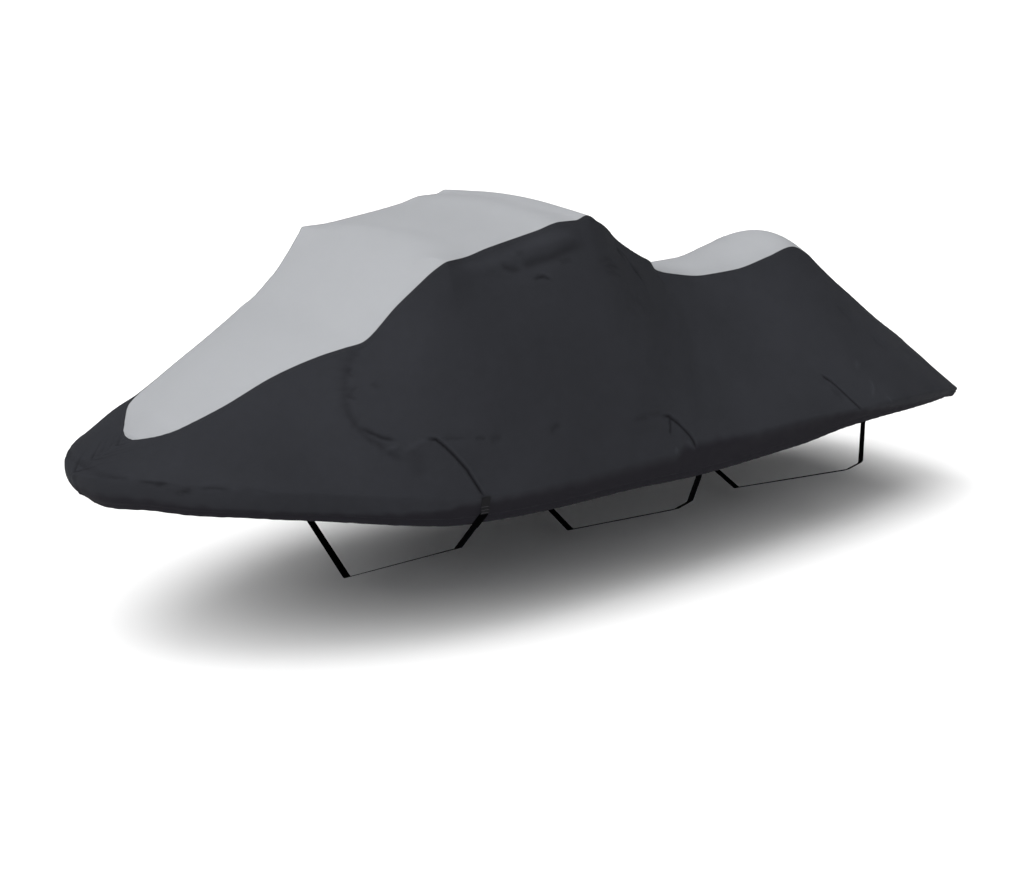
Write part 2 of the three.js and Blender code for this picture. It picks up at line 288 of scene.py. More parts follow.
def smooth(value: Array, low: float | Array, high: float | Array) -> Array:
    """Rises smoothly from 0 at low to 1 at high."""
    t = np.clip((value - low) / (high - low), 0, 1)
    return t * t * (3 - 2 * t)


def bell(value: Array, width: float) -> Array:
    """Falls from 1 at nought to nearly 0 at twice the width."""
    return np.exp(-((value / width) ** 2))


def unit(vectors: Array) -> Array:
    """The vectors at length one."""
    return vectors / np.maximum(np.linalg.norm(vectors, axis=-1, keepdims=True), 1e-9)


def run_length(points: Array, axis: int) -> Array:
    """Distance along a grid's lines from their first point.

    Args:
        points: A grid of points, with x, y and z last.
        axis: The axis of the grid to go along.

    Returns:
        The distance at each point of the grid.
    """
    steps = np.linalg.norm(np.diff(points, axis=axis), axis=-1)
    start = np.zeros_like(np.take(steps, [0], axis=axis))
    return np.concatenate([start, np.cumsum(steps, axis=axis)], axis=axis)


def at_distance(distance: Array, walked: Array, values: Array) -> Array:
    """A line's values at distances along it.

    Args:
        distance: The distances wanted.
        walked: How far along the line each of its own points lies.
        values: A row of three numbers for each of its points.

    Returns:
        A row of three numbers for each distance.
    """
    return np.stack([np.interp(distance, walked, values[:, k]) for k in range(3)], -1)


@dataclass
class CoverForm:
    """The taut shape of the cloth, for the port half, in millimetres."""

    soft_reach: float = 170.0
    soft_power: float = 3.5
    drape_reach: float = 150.0
    drape_fade: float = 200.0
    drape_samples: int = 13
    drape_bell: float = 2.3
    least_reach: float = 42.0
    taut_bow: tuple[float, float] = (-1300.0, -1150.0)
    taut_stern: tuple[float, float] = (1350.0, 1500.0)
    bump_scale: float = 6.75
    bulge_proud: float = 12.0
    bulge_softness: float = 60.0
    bulge_foot: float = 0.87
    bulge_fades: float = -100.0
    bulge_ends: float = 250.0
    packed_cloth: float = 2.0
    step: float = 7.2
    near_centre_seams: tuple[float, ...] = (0.0, 1.5, 5.0, 9.5, 12.0)
    seam_curves: Curves = field(default_factory=lambda: Curves(SEAM_COLUMNS, SEAM))
    rail_curves: Curves = field(default_factory=lambda: Curves(RAIL_COLUMNS, RAIL))
    hem_curves: Curves = field(default_factory=lambda: Curves(HEM_COLUMNS, HEM))
    turn_curves: Curves = field(default_factory=lambda: Curves(TURN_COLUMNS, TURN))
    flank_curves: Curves = field(default_factory=lambda: Curves(FLANK_COLUMNS, FLANK))
    bulge_curves: Curves = field(
        default_factory=lambda: Curves(BULGE_EDGE_COLUMNS, BULGE_EDGE)
    )

    @property
    def lift(self) -> float:
        """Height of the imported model's origin above the floor."""
        seam = self.seam_curves
        return float(seam("z", 0.0) + seam("crown", 0.0)) - self.packed_cloth

    def to_metres(self, points: Array) -> Array:
        """Points above the floor in millimetres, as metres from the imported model's origin."""
        return (points - np.array([0.0, 0.0, self.lift])) * MM

    def seam(self, s: Array) -> Array:
        """Points of the port seam."""
        curves = self.seam_curves
        return np.stack([curves("x", s), -curves("half", s), curves("z", s)], -1)

    def rail(self, s: Array) -> Array:
        """Points of the port rail line."""
        curves = self.rail_curves
        return np.stack([curves("x", s), -curves("half", s), curves("z", s)], -1)

    def soft_seam(self, s: Array) -> Array:
        """The seam with its corners evened out, which the flank follows further down."""
        spread = np.minimum(self.soft_reach, np.minimum(s - BOW, STERN - s))
        shares = (-1, -0.6, -0.2, 0.2, 0.6, 1)
        return sum(self.seam(s + share * spread) for share in shares) / len(shares)

    def outward(self, s: Array) -> Array:
        """The horizontal direction that points out of the cover at the rail line."""
        reach = 12.0
        along = self.rail(s + reach) - self.rail(s - reach)
        out = unit(np.stack([along[..., 1], -along[..., 0], np.zeros_like(s)], -1))
        out[s - reach <= BOW] = (-1, 0, 0)
        out[s + reach >= STERN] = (1, 0, 0)
        return out

    def foot(self, s: Array) -> Array:
        """Points of the hem's lower edge."""
        curves = self.hem_curves
        drop = np.stack([0 * s, 0 * s, curves("drop", s)], -1)
        return self.rail(s) - self.outward(s) * curves("tuck", s)[..., None] - drop

    def crown(self, s: Array, share: Array) -> Array:
        """Points of the pale cloth, a share of the way from the centre line to the seam."""
        edge = self.seam(s)[:, None]
        rise = self.seam_curves("crown", s)[:, None] * (1 - share**2)
        x = np.broadcast_to(edge[..., 0], rise.shape)
        return np.stack([x, edge[..., 1] * share, edge[..., 2] + rise], -1)

    def draped(
        self,
        surface: Callable[[Array, Array], Array],
        s: Array,
        share: Array,
        loose: Array,
        stretch: tuple[float, float],
    ) -> Array:
        """A surface whose corners across the cloth are evened out where the cloth is loose.

        Args:
            surface: The form's own surface, worked out from stations and shares.
            s: The stations.
            share: A grid of shares, one row for each station.
            loose: How loose the cloth is at each point, from 0 to 1.
            stretch: The stations between which the corners are evened out most.

        Returns:
            A grid of points.
        """
        start, stop = stretch
        inside = smooth(s, start, start + self.drape_fade)
        inside *= 1 - smooth(s, stop - self.drape_fade, stop)
        least = self.least_reach * smooth(s, *self.taut_bow) * (1 - smooth(s, *self.taut_stern))
        reach = least + (self.drape_reach - least) * inside
        offsets = np.linspace(-1, 1, self.drape_samples)
        weights = np.cos(offsets * math.pi / self.drape_bell) ** 2
        even = sum(w * surface(s + k * reach, share) for k, w in zip(offsets, weights))
        tight = surface(s, share)
        return tight + (even / weights.sum() - tight) * loose[..., None]

    def bulge(self, x: Array, share: Array) -> Array:
        """How far the flank's bulge stands out, a share of the way down the flank."""
        edge = self.bulge_curves("x", share)
        rise = smooth(x, edge, edge + self.bulge_softness)
        fall = smooth(x, self.bulge_fades, self.bulge_ends)
        down_flank = np.sin(np.pi * np.minimum(1, share / self.bulge_foot))
        return self.bulge_proud * rise * (1 - fall) * down_flank

    def flank(self, s: Array, share: Array) -> Array:
        """Points of the flank, a share of the way down from the seam to the rail line.

        Args:
            s: The stations.
            share: A grid of shares, one row for each station.

        Returns:
            A grid of points.
        """
        start = self.soft_seam(s)
        corner = (self.seam(s) - start)[:, None]
        down = self.rail(s) - start
        across = np.linalg.norm(down[:, :2], axis=-1, keepdims=True)
        sideways = down[:, :2] / np.maximum(across, 1e-9)
        proud = unit(np.concatenate([-down[:, 2:] * sideways, across], -1))[:, None]
        rest = 1 - share
        curves = self.flank_curves
        bumps = curves("upper", s)[:, None] * rest + curves("lower", s)[:, None] * share
        points = start[:, None] + down[:, None] * share[..., None]
        out = self.bump_scale * share * rest * bumps + self.bulge(points[..., 0], share)
        return points + corner * rest[..., None] ** self.soft_power + proud * out[..., None]

    def band(self, s: Array, share: Array) -> Array:
        """Points of the hem band, a share of the way down from the rail line to its foot.

        Args:
            s: The stations.
            share: A grid of shares, one row for each station.

        Returns:
            A grid of points.
        """
        turn, foot = self.rail(s)[:, None], self.foot(s)[:, None]
        belly = self.hem_curves("belly", s)[:, None]
        proud = 4 * belly * share * (1 - share)
        points = turn + (foot - turn) * share[..., None]
        return points + self.outward(s)[:, None] * proud[..., None]

    def stations(self) -> tuple[Array, int, int]:
        """Stations for the cross-sections, closer together at folds and next to centre seams.

        Returns:
            The stations, and the places in them of the pale panel's two ends.
        """
        fine = FINE_STATIONS
        lines = (self.seam(fine), self.rail(fine), self.foot(fine))
        runs = np.stack([run_length(line, 0) for line in lines])
        walked = np.concatenate([[0], np.cumsum(np.max(np.diff(runs), axis=0))])
        total = float(walked[-1])
        x = self.rail(fine)[:, 0]
        busy = sum(
            smooth(x, start - BUSY_MARGIN, start) * (1 - smooth(x, stop, stop + BUSY_MARGIN))
            for start, stop in BUSY_STRETCHES
        )
        finer = (1 + (BUSY_SHARE - 1) * busy)[1:] * np.diff(walked)
        weighed = np.concatenate([[0], np.cumsum(finer)])
        tip, tail = np.interp([TIP, TAIL], fine, walked)
        near = [end for end in self.near_centre_seams if end < tip]
        stops = [*near, float(tip), float(tail), *[total - end for end in reversed(near)]]
        weighed_stops = np.interp(stops, walked, weighed)
        places = []
        marks = []
        for start, stop in zip(weighed_stops, weighed_stops[1:]):
            marks.append(len(places))
            count = 2 * max(1, round((stop - start) / self.step / 2))
            places.extend(np.linspace(start, stop, count, endpoint=False))
        places.append(weighed_stops[-1])
        s = np.interp(places, weighed, fine)
        return s, marks[len(near)], marks[len(near) + 1]


# How the parts of a fold lie beside its path, as shares of its width.
RIDGE_AWAY = 1.6
RIDGE_SPREAD = 0.9
SHADE_SPREAD = 0.75
GATHER_SPREAD = 2.4

# The small ripples across a fold: their pitch, their slant and the shade between them.
GATHER_PITCH = 24.0
GATHER_SLANT = 0.5
GATHER_SHADE = 0.12


@dataclass(frozen=True)
class Crease:
    """A fold in the cloth, along a path seen from the side.

    A trough has a positive depth and a fold that stands up a negative one. A ridge lies beside the
    trough, to the left of the path where beside is 1 and to its right where it is -1. Gathers are
    small ripples across the path. The shade darkens a trough, and the gleam lightens what stands
    up. Both fades are the shares of the path over which the fold comes and goes.
    """

    path: tuple[tuple[float, float], ...]
    depth: float
    width: float
    ridge: float = 0.0
    beside: int = 1
    shade: float = 0.0
    gleam: float = 0.0
    gathers: float = 0.0
    fade_in: float = 0.3
    fade_out: float = 0.3

    def lie(self, x: Array, z: Array) -> tuple[Array, Array]:
        """How the fold lifts and shades the cloth at each place seen from the side.

        Args:
            x: The places' X.
            z: Their heights.

        Returns:
            How far the cloth is lifted, and how much shade it holds: from 0 to 1, or less than 0
            where the cloth is lighter.
        """
        best, signed, along, total = self._nearest(x, z)
        fade = smooth(along, 0.0, self.fade_in) * (1 - smooth(along, 1 - self.fade_out, 1.0))
        trough = fade * bell(best, self.width)
        off = signed * self.beside - RIDGE_AWAY * self.width
        ridge = fade * bell(off, RIDGE_SPREAD * self.width)
        crest = ridge if self.depth > 0 else trough
        dark = fade * bell(best, SHADE_SPREAD * self.width)
        across = ripple(along * total + GATHER_SLANT * signed, GATHER_PITCH, total)
        gathers = fade * bell(best, GATHER_SPREAD * self.width) * across
        lift = self.ridge * ridge - self.depth * trough + self.gathers * gathers
        held = self.shade * dark + GATHER_SHADE * self.gathers * np.maximum(-gathers, 0)
        return lift, held - self.gleam * crest

    def _nearest(self, x: Array, z: Array) -> tuple[Array, Array, Array, float]:
        """Where each place lies from the path.

        Args:
            x: The places' X.
            z: Their heights.

        Returns:
            How far each is from the path, the same with a sign that is positive to the path's
            left, the share of the path that lies before its nearest point, and the path's length.
        """
        points = np.array(self.path, float)
        lengths = np.linalg.norm(np.diff(points, axis=0), axis=-1)
        total = lengths.sum()
        best = np.full(x.shape, np.inf)
        signed = np.zeros(x.shape)
        along = np.zeros(x.shape)
        walked = 0.0
        for start, end, length in zip(points, points[1:], lengths):
            run = (end - start) / length
            forward = (x - start[0]) * run[0] + (z - start[1]) * run[1]
            t = np.clip(forward, 0, length)
            away_x, away_z = x - start[0] - t * run[0], z - start[1] - t * run[1]
            away = np.hypot(away_x, away_z)
            nearer = away < best
            left = np.sign(run[0] * away_z - run[1] * away_x)
            best = np.where(nearer, away, best)
            signed = np.where(nearer, away * left, signed)
            along = np.where(nearer, (walked + t) / total, along)
            walked += length
        return best, signed, along, total


# The three folds that run up from the straps, and what lies next to them.
STRAP_FOLDS = (
    Crease(
        (
            (-694, 624),
            (-665, 620),
            (-645, 600),
            (-622, 571),
            (-594, 533),
            (-569, 483),
            (-552, 452),
        ),
        depth=5.0,
        width=4.4,
        ridge=2.0,
        shade=0.9,
        gleam=0.2,
        fade_in=0.12,
        fade_out=0.1,
    ),
    Crease(
        ((84, 571), (108, 568), (125, 564), (155, 539), (188, 499), (196, 481), (196, 462)),
        depth=4.6,
        width=4.8,
        ridge=1.8,
        shade=0.85,
        gleam=0.15,
        fade_in=0.25,
        fade_out=0.1,
    ),
    Crease(
        ((872, 559), (903, 536), (923, 508), (940, 480), (966, 444)),
        depth=4.6,
        width=4.6,
        ridge=1.6,
        shade=0.85,
        gleam=0.1,
        fade_in=0.12,
        fade_out=0.1,
    ),
    Crease(((128, 560), (120, 533), (108, 512)), depth=3.0, width=6, shade=0.6, fade_in=0.1),
    Crease(((127, 478), (112, 457)), depth=-3.0, width=6.0, gleam=0.25),
    Crease(((166, 488), (184, 471), (192, 455)), depth=-2.2, width=5.0, gleam=0.2),
    Crease(((-655, 621), (-615, 617), (-572, 614)), depth=1.4, width=5.0, shade=0.25),
    Crease(((-560, 612), (-524, 607)), depth=1.6, width=5.0, shade=0.4),
    Crease(((-516, 604), (-476, 600)), depth=2.4, width=13, shade=0.22),
    Crease(((-328, 592), (-306, 604), (-284, 611)), depth=2.6, width=10, shade=0.32),
    Crease(((-712, 600), (-727, 560), (-719, 520)), depth=2.4, width=30, shade=0.14),
    Crease(((40, 580), (70, 578), (100, 582)), depth=1.6, width=8, ridge=1.0, shade=0.18),
    Crease(((-30, 577), (16, 580), (44, 572)), depth=1.5, width=6, ridge=0.8, shade=0.2),
)

# The edge of the flank's bulge, where the cloth of the bow turns on to it.
BULGE_FOLDS = (
    Crease(
        ((-762, 848), (-796, 821), (-817, 797), (-831, 770), (-844, 735), (-852, 700)),
        depth=2.4,
        width=10,
        shade=0.2,
        gathers=1.1,
        fade_in=0.15,
        fade_out=0.1,
    ),
    Crease(
        (
            (-852, 722),
            (-850, 685),
            (-841, 657),
            (-825, 632),
            (-804, 614),
            (-778, 586),
            (-740, 568),
        ),
        depth=3.6,
        width=11,
        ridge=1.4,
        shade=0.3,
        gathers=0.8,
        fade_in=0.12,
        fade_out=0.25,
    ),
    Crease(((-840, 664), (-818, 647), (-790, 631), (-756, 624)), depth=3.4, width=6, shade=0.7),
    Crease(((-804, 596), (-781, 604), (-758, 611)), depth=-2.8, width=6, gleam=0.2),
    Crease(
        ((-760, 588), (-727, 606), (-706, 616), (-676, 619)), depth=-2.4, width=6, gleam=0.15
    ),
    Crease(((-803, 804), (-816, 788), (-812, 772)), depth=2.4, width=6, ridge=1.4, shade=0.25),
    Crease(((-812, 756), (-836, 734), (-818, 720)), depth=2.4, width=6, ridge=1.4, shade=0.3),
    Crease(((-776, 766), (-764, 748)), depth=2.0, width=8, ridge=1.0, shade=0.22),
)

# The stretched cloth below the cover's shoulder and on the slope behind it.
SHOULDER_FOLDS = (
    Crease(
        ((-520, 1036), (-413, 1034), (-322, 1046), (-227, 1068), (-120, 1086), (-40, 1092)),
        depth=-4.5,
        width=15,
        gleam=0.2,
        fade_in=0.2,
        fade_out=0.15,
    ),
    Crease(((-352, 1036), (-317, 1020), (-278, 1016)), depth=3.6, width=10, shade=0.42),
    Crease(
        ((-292, 1022), (-240, 1030), (-175, 1038), (-118, 1052), (-20, 1066)),
        depth=5.0,
        width=14,
        shade=0.45,
        fade_in=0.15,
        fade_out=0.35,
    ),
    Crease(((-290, 1052), (-252, 1058)), depth=2.6, width=8, shade=0.25),
    Crease(
        ((-264, 986), (-242, 994), (-222, 992), (-196, 980)),
        depth=3.2,
        width=5.5,
        ridge=2.4,
        shade=0.7,
        gleam=0.2,
    ),
    Crease(((-160, 1020), (-133, 1026), (-104, 1024)), depth=2.6, width=9, ridge=1.2, shade=0.3),
    Crease(((-330, 990), (-290, 982), (-250, 970)), depth=-1.6, width=14),
    Crease(
        ((188, 992), (207, 958), (238, 922), (264, 888)),
        depth=4.2,
        width=6.0,
        ridge=2.6,
        beside=-1,
        shade=0.65,
        gleam=0.2,
    ),
    Crease(((206, 982), (226, 952), (250, 916)), depth=-2.4, width=6),
    Crease(((0, 992), (47, 988), (100, 970)), depth=3.2, width=6.5, ridge=1.8, shade=0.32),
    Crease(((4, 974), (49, 971), (96, 948)), depth=2.8, width=6.5, ridge=1.6, shade=0.3),
    Crease(((-16, 1010), (26, 1010), (74, 996)), depth=2.4, width=7, ridge=1.2, shade=0.25),
    Crease(((130, 1030), (161, 1001), (188, 972)), depth=2.8, width=8, ridge=1.2, shade=0.3),
    Crease(((100, 900), (150, 872), (208, 820)), depth=1.8, width=14, shade=0.08),
    Crease(((40, 880), (90, 862), (140, 826)), depth=1.6, width=15, shade=0.06),
)

# Slack in the cloth of the tail, and the flank's long hollow in front of it.
TAIL_FOLDS = (
    Crease(((1098, 524), (1086, 492), (1044, 468)), depth=-2.2, width=6, gleam=0.35),
    Crease(((1080, 578), (1084, 560), (1048, 545)), depth=-2.0, width=6, gleam=0.3),
    Crease(((1116, 466), (1140, 438)), depth=-2.2, width=6, gleam=0.3),
    Crease(((876, 520), (900, 500), (904, 474)), depth=2.0, width=14, shade=0.14),
    Crease(((1156, 720), (1172, 694), (1200, 664)), depth=2.0, width=10, ridge=1.2, shade=0.1),
    Crease(((1256, 610), (1282, 576), (1310, 556)), depth=2.0, width=11, ridge=1.2, shade=0.1),
    Crease(((1400, 560), (1445, 520), (1500, 490)), depth=1.8, width=11, ridge=1.0),
    Crease(((470, 768), (410, 712), (350, 672), (229, 522)), depth=3.0, width=46),
)

# Folds along the bow's rail line: path, depth, width, ridge and shade.
BOW_FOLD_COLUMNS = ("path", "depth", "width", "ridge", "shade")
BOW_FOLD_ROWS = (
    (((-1418, 559), (-1398, 562), (-1380, 561)), 2.2, 5.5, 1.2, 0.3),
    (((-1372, 556), (-1344, 555), (-1316, 557)), 2.2, 5.5, 1.2, 0.35),
    (((-1345, 545), (-1326, 552), (-1312, 560)), 2.4, 5.5, 1.4, 0.35),
    (((-1306, 524), (-1286, 535), (-1266, 542)), 2.8, 6, 1.6, 0.45),
    (((-1258, 544), (-1223, 546), (-1188, 541)), 2.2, 5.5, 1.0, 0.35),
    (((-1180, 540), (-1140, 538), (-1100, 530)), 1.4, 6, 0, 0.15),
    (((-1436, 554), (-1422, 559), (-1404, 562)), 1.6, 5.5, 0, 0.25),
)
BOW_FOLDS = tuple(Crease(**dict(zip(BOW_FOLD_COLUMNS, row))) for row in BOW_FOLD_ROWS)
FLANK_CREASES = (*STRAP_FOLDS, *BULGE_FOLDS, *SHOULDER_FOLDS, *TAIL_FOLDS, *BOW_FOLDS)


@dataclass(frozen=True)
class Wave:
    """A broad wave in the cloth: its lengths along X and Z, its height and its phase."""

    x_length: float
    z_length: float
    height: float
    phase: float

    def lift(self, points: Array, shift: float | Array) -> Array:
        """How far the wave lifts the cloth at each point."""
        turn = points[..., 0] / self.x_length + points[..., 2] / self.z_length
        return self.height * np.sin(2 * np.pi * turn + self.phase + shift)


# What keeps the cloth from lying like sheet metal.
WAVES = (
    Wave(410.0, 690.0, 0.9, 0.4),
    Wave(-270.0, 330.0, 0.6, 2.1),
    Wave(165.0, 240.0, 0.35, 4.4),
    Wave(-118.0, 150.0, 0.22, 1.3),
)


def waves(points: Array, shift: float | Array) -> Array:
    """The cloth's broad waves at each point.

    Args:
        points: A grid of points.
        shift: Moves the waves along, so that two pieces don't match.

    Returns:
        How far the cloth is lifted.
    """
    return sum(wave.lift(points, shift) for wave in WAVES)


def ripple(along: Array, length: float, shift: float | Array) -> Array:
    """Uneven ripples of about one length along a seam or a hem, between -1 and 1."""
    turn = 2 * np.pi * along / length
    first = np.sin(turn + shift)
    second = np.sin(0.61 * turn + 1.7 * shift + 1.1)
    third = np.sin(1.43 * turn + 2.9 * shift + 2.3)
    return 0.5 * first + 0.3 * second + 0.2 * third


@dataclass(frozen=True)
class Gather:
    """Small ripples along a seam or a hem, which die away across the cloth."""

    pitch: float
    height: float
    reach: float
    phase: float = 0.0

    def lift(self, along: Array, away: Array, shift: float | Array = 0.0) -> Array:
        """How far the ripples lift the cloth.

        Args:
            along: How far along the seam each point lies.
            away: How far from the seam.
            shift: Moves the ripples along, so that two pieces don't match.

        Returns:
            The lift at each point.
        """
        fade = np.exp(-away / self.reach)
        return self.height * ripple(along, self.pitch, self.phase + shift) * fade


def grid_normals(points: Array) -> Array:
    """Normals of a grid, which face out of the cover on the port side."""
    along = np.gradient(points, axis=0)
    down = np.gradient(points, axis=1)
    return unit(np.cross(down, along))


def soften(points: Array, column: int, reach: int, rounds: int) -> Array:
    """Rounds a grid's cross-sections off near one column.

    Args:
        points: The grid.
        column: The column at the corner.
        reach: How many columns to either side are moved.
        rounds: How often each is moved towards the middle of its neighbours.

    Returns:
        The rounded grid.
    """
    out = points.copy()
    last = points.shape[1] - 2
    columns = np.arange(max(1, column - reach), min(last, column + reach) + 1)
    weight = 0.5 * (1 - np.abs(columns - column) / (reach + 1))[None, :, None]
    for _ in range(rounds):
        middle = (out[:, columns - 1] + out[:, columns + 1]) / 2
        out[:, columns] += weight * (middle - out[:, columns])
    return out


@dataclass
class Shell:
    """A sheet with two faces: a fine grid outside and a coarse one inside, joined by a rim."""

    outer: Array
    normals: Array
    thickness: Array
    facts: dict[str, Array]

    def faces(self) -> list[tuple[int, ...]]:
        """Faces of both grids and the rim, all facing out of the sheet."""
        rows, columns = self.outer.shape[:2]
        fine = np.arange(rows * columns).reshape(rows, columns)
        coarse_rows, coarse_columns = (rows + 1) // 2, (columns + 1) // 2
        coarse = rows * columns + np.arange(coarse_rows * coarse_columns).reshape(
            coarse_rows, coarse_columns
        )
        outside = np.stack([fine[:-1, :-1], fine[:-1, 1:], fine[1:, 1:], fine[1:, :-1]], -1)
        inside = np.stack(
            [coarse[:-1, :-1], coarse[1:, :-1], coarse[1:, 1:], coarse[:-1, 1:]], -1
        )
        found = [tuple(face) for face in outside.reshape(-1, 4).tolist()]
        found += [tuple(face) for face in inside.reshape(-1, 4).tolist()]
        for edge, lining, forward in (
            (fine[:, 0], coarse[:, 0], True),
            (fine[:, -1], coarse[:, -1], False),
            (fine[0], coarse[0], False),
            (fine[-1], coarse[-1], True),
        ):
            found += self._rim(edge.tolist(), lining.tolist(), forward)
        return found

    @staticmethod
    def _rim(edge: list[int], lining: list[int], forward: bool) -> list[tuple[int, ...]]:
        """Triangles between an outer edge and the inner edge that has half its points."""
        found = []
        for k in range(len(lining) - 1):
            first, middle, last = edge[2 * k : 2 * k + 3]
            near, far = lining[k], lining[k + 1]
            found += [(first, middle, near), (middle, last, far), (middle, far, near)]
        return found if forward else [face[::-1] for face in found]

    def build(self, name: str, form: CoverForm, side: Side) -> bpy.types.Object:
        """Makes the sheet's mesh and object.

        Args:
            name: The piece's name.
            form: Turns the points into metres.
            side: The side of the centre line; the grid itself is the port one.

        Returns:
            The new object.
        """
        inner = self.outer - self.normals * self.thickness[..., None]
        points = np.concatenate(
            [self.outer.reshape(-1, 3), inner[::2, ::2].reshape(-1, 3)]
        )
        faces = self.faces()
        if side is Side.STARBOARD:
            points = points * MIRROR
            faces = [face[::-1] for face in faces]
        piece = new_piece(name, form.to_metres(points), faces)
        for fact, value in self.facts.items():
            both = np.concatenate([value.reshape(-1), value[::2, ::2].reshape(-1)])
            set_fact(piece, fact, both)
        return piece


def new_piece(
    name: str, points: Array, faces: Sequence[Sequence[int]], sharp_degrees: float = 50.0
) -> bpy.types.Object:
    """Makes a smooth-shaded mesh object.

    Args:
        name: The piece's name.
        points: Its points, in metres.
        faces: Its faces.
        sharp_degrees: Edges that turn by more than this stay sharp.

    Returns:
        The new object.
    """
    mesh = bpy.data.meshes.new(name)
    mesh.from_pydata(points.tolist(), [], faces)
    mesh.polygons.foreach_set("use_smooth", [True] * len(mesh.polygons))
    mesh.set_sharp_from_angle(angle=math.radians(sharp_degrees))
    mesh.update()
    piece = bpy.data.objects.new(name, mesh)
    bpy.context.scene.collection.objects.link(piece)
    return piece


def set_fact(piece: bpy.types.Object, name: str, values: Array) -> None:
    """Gives each point of a mesh a number, which its finish reads by name."""
    layer = piece.data.attributes.new(name, "FLOAT", "POINT")
    layer.data.foreach_set("value", values.astype(np.float32))


class Value:
    """A shader socket on which Python's operators add Math nodes."""

    def __init__(self, shader: "Shader", socket: bpy.types.NodeSocket) -> None:
        """Wraps a socket of a shader's tree."""
        self.shader = shader
        self.socket = socket

    def _math(self, operation: str, first: Any, second: Any = None) -> "Value":
        """Adds a Math node.

        Args:
            operation: The node's operation.
            first: Its first input, a value or a number.
            second: Its second input, where it has one.

        Returns:
            The node's result.
        """
        inputs = {0: first} if second is None else {0: first, 1: second}
        return self.shader.value("ShaderNodeMath", {"operation": operation}, inputs)

    def __add__(self, other: Any) -> "Value":
        """Adds a value or a number."""
        return self._math("ADD", self, other)

    __radd__ = __add__

    def __sub__(self, other: Any) -> "Value":
        """Takes a value or a number away."""
        return self._math("SUBTRACT", self, other)

    def __rsub__(self, other: Any) -> "Value":
        """Takes this value away from a number."""
        return self._math("SUBTRACT", other, self)

    def __mul__(self, other: Any) -> "Value":
        """Multiplies by a value or a number."""
        return self._math("MULTIPLY", self, other)

    __rmul__ = __mul__

    def __truediv__(self, other: Any) -> "Value":
        """Divides by a value or a number."""
        return self._math("DIVIDE", self, other)

    def threads(self, pitch: float) -> "Value":
        """A wave between -1 and 1 along this length, at the pitch of a cloth's threads."""
        return self._math("SINE", self * (2 * math.pi / pitch))

    def rise(self, low: float, high: float) -> "Value":
        """Rises smoothly from 0 where this value is low to 1 where it is high."""
        settings = {"interpolation_type": "SMOOTHSTEP"}
        inputs = {"Value": self, "From Min": low, "From Max": high}
        return self.shader.value("ShaderNodeMapRange", settings, inputs)


class Shader:
    """A material's node tree, built from expressions."""

    def __init__(self, name: str) -> None:
        """Starts a material with an empty tree."""
        self.material = bpy.data.materials.new(name)
        self.material.use_nodes = True
        self.tree = self.material.node_tree
        self.tree.nodes.clear()

    def node(
        self, kind: str, settings: dict[str, Any], inputs: dict[str | int, Any]
    ) -> bpy.types.Node:
        """Adds any node.

        Args:
            kind: The node's type.
            settings: Its own settings, which are set first.
            inputs: A number or a link for each socket, by name or place.

        Returns:
            The new node.
        """
        node = self.tree.nodes.new(kind)
        for name, setting in settings.items():
            setattr(node, name, setting)
        for name, given in inputs.items():
            if isinstance(given, Value):
                self.tree.links.new(given.socket, node.inputs[name])
            else:
                node.inputs[name].default_value = given
        return node

    def value(
        self,
        kind: str,
        settings: dict[str, Any],
        inputs: dict[str | int, Any],
        output: str | int = 0,
    ) -> Value:
        """Adds any node and gives one of its outputs."""
        return Value(self, self.node(kind, settings, inputs).outputs[output])

    def fact(self, name: str) -> Value:
        """A number that the mesh holds at each of its points."""
        return self.value("ShaderNodeAttribute", {"attribute_name": name}, {}, "Fac")

    def place(self) -> Value:
        """Where the surface lies, in metres."""
        return self.value("ShaderNodeTexCoord", {}, {}, "Object")

    def noise(self, scale: float, detail: float, roughness: float = 0.5) -> Value:
        """Cloudy noise between 0 and 1, with so many clouds to the metre."""
        inputs = {
            "Vector": self.place(),
            "Scale": scale,
            "Detail": detail,
            "Roughness": roughness,
        }
        return self.value("ShaderNodeTexNoise", {}, inputs, "Fac")

    def mix(self, share: Any, first: Any, second: Any) -> Value:
        """A colour a share of the way from the first to the second."""
        node = self.node("ShaderNodeMix", {"data_type": "RGBA"}, {})
        for name, given in (("Factor_Float", share), ("A_Color", first), ("B_Color", second)):
            socket = next(x for x in node.inputs if x.identifier == name)
            if isinstance(given, Value):
                self.tree.links.new(given.socket, socket)
            else:
                socket.default_value = given
        return Value(self, next(x for x in node.outputs if x.identifier == "Result_Color"))

    def bump(self, height: Value, distance: float, below: Value | None = None) -> Value:
        """A normal from a height, over another bump if one is given."""
        inputs = {"Height": height, "Distance": distance}
        if below is not None:
            inputs["Normal"] = below
        return self.value("ShaderNodeBump", {}, inputs, "Normal")

    def surface(self, **inputs: Any) -> bpy.types.Material:
        """Closes the tree with a Principled surface.

        Args:
            **inputs: The surface's sockets, with underscores for their spaces.

        Returns:
            The finished material.
        """
        named = {name.replace("_", " "): given for name, given in inputs.items()}
        principled = self.value("ShaderNodeBsdfPrincipled", {}, named)
        self.node("ShaderNodeOutputMaterial", {}, {"Surface": principled})
        return self.material


Colour = tuple[float, float, float, float]


def shade(colour: Colour, by: float) -> Colour:
    """A colour made lighter or darker by a factor."""
    return (colour[0] * by, colour[1] * by, colour[2] * by, 1.0)


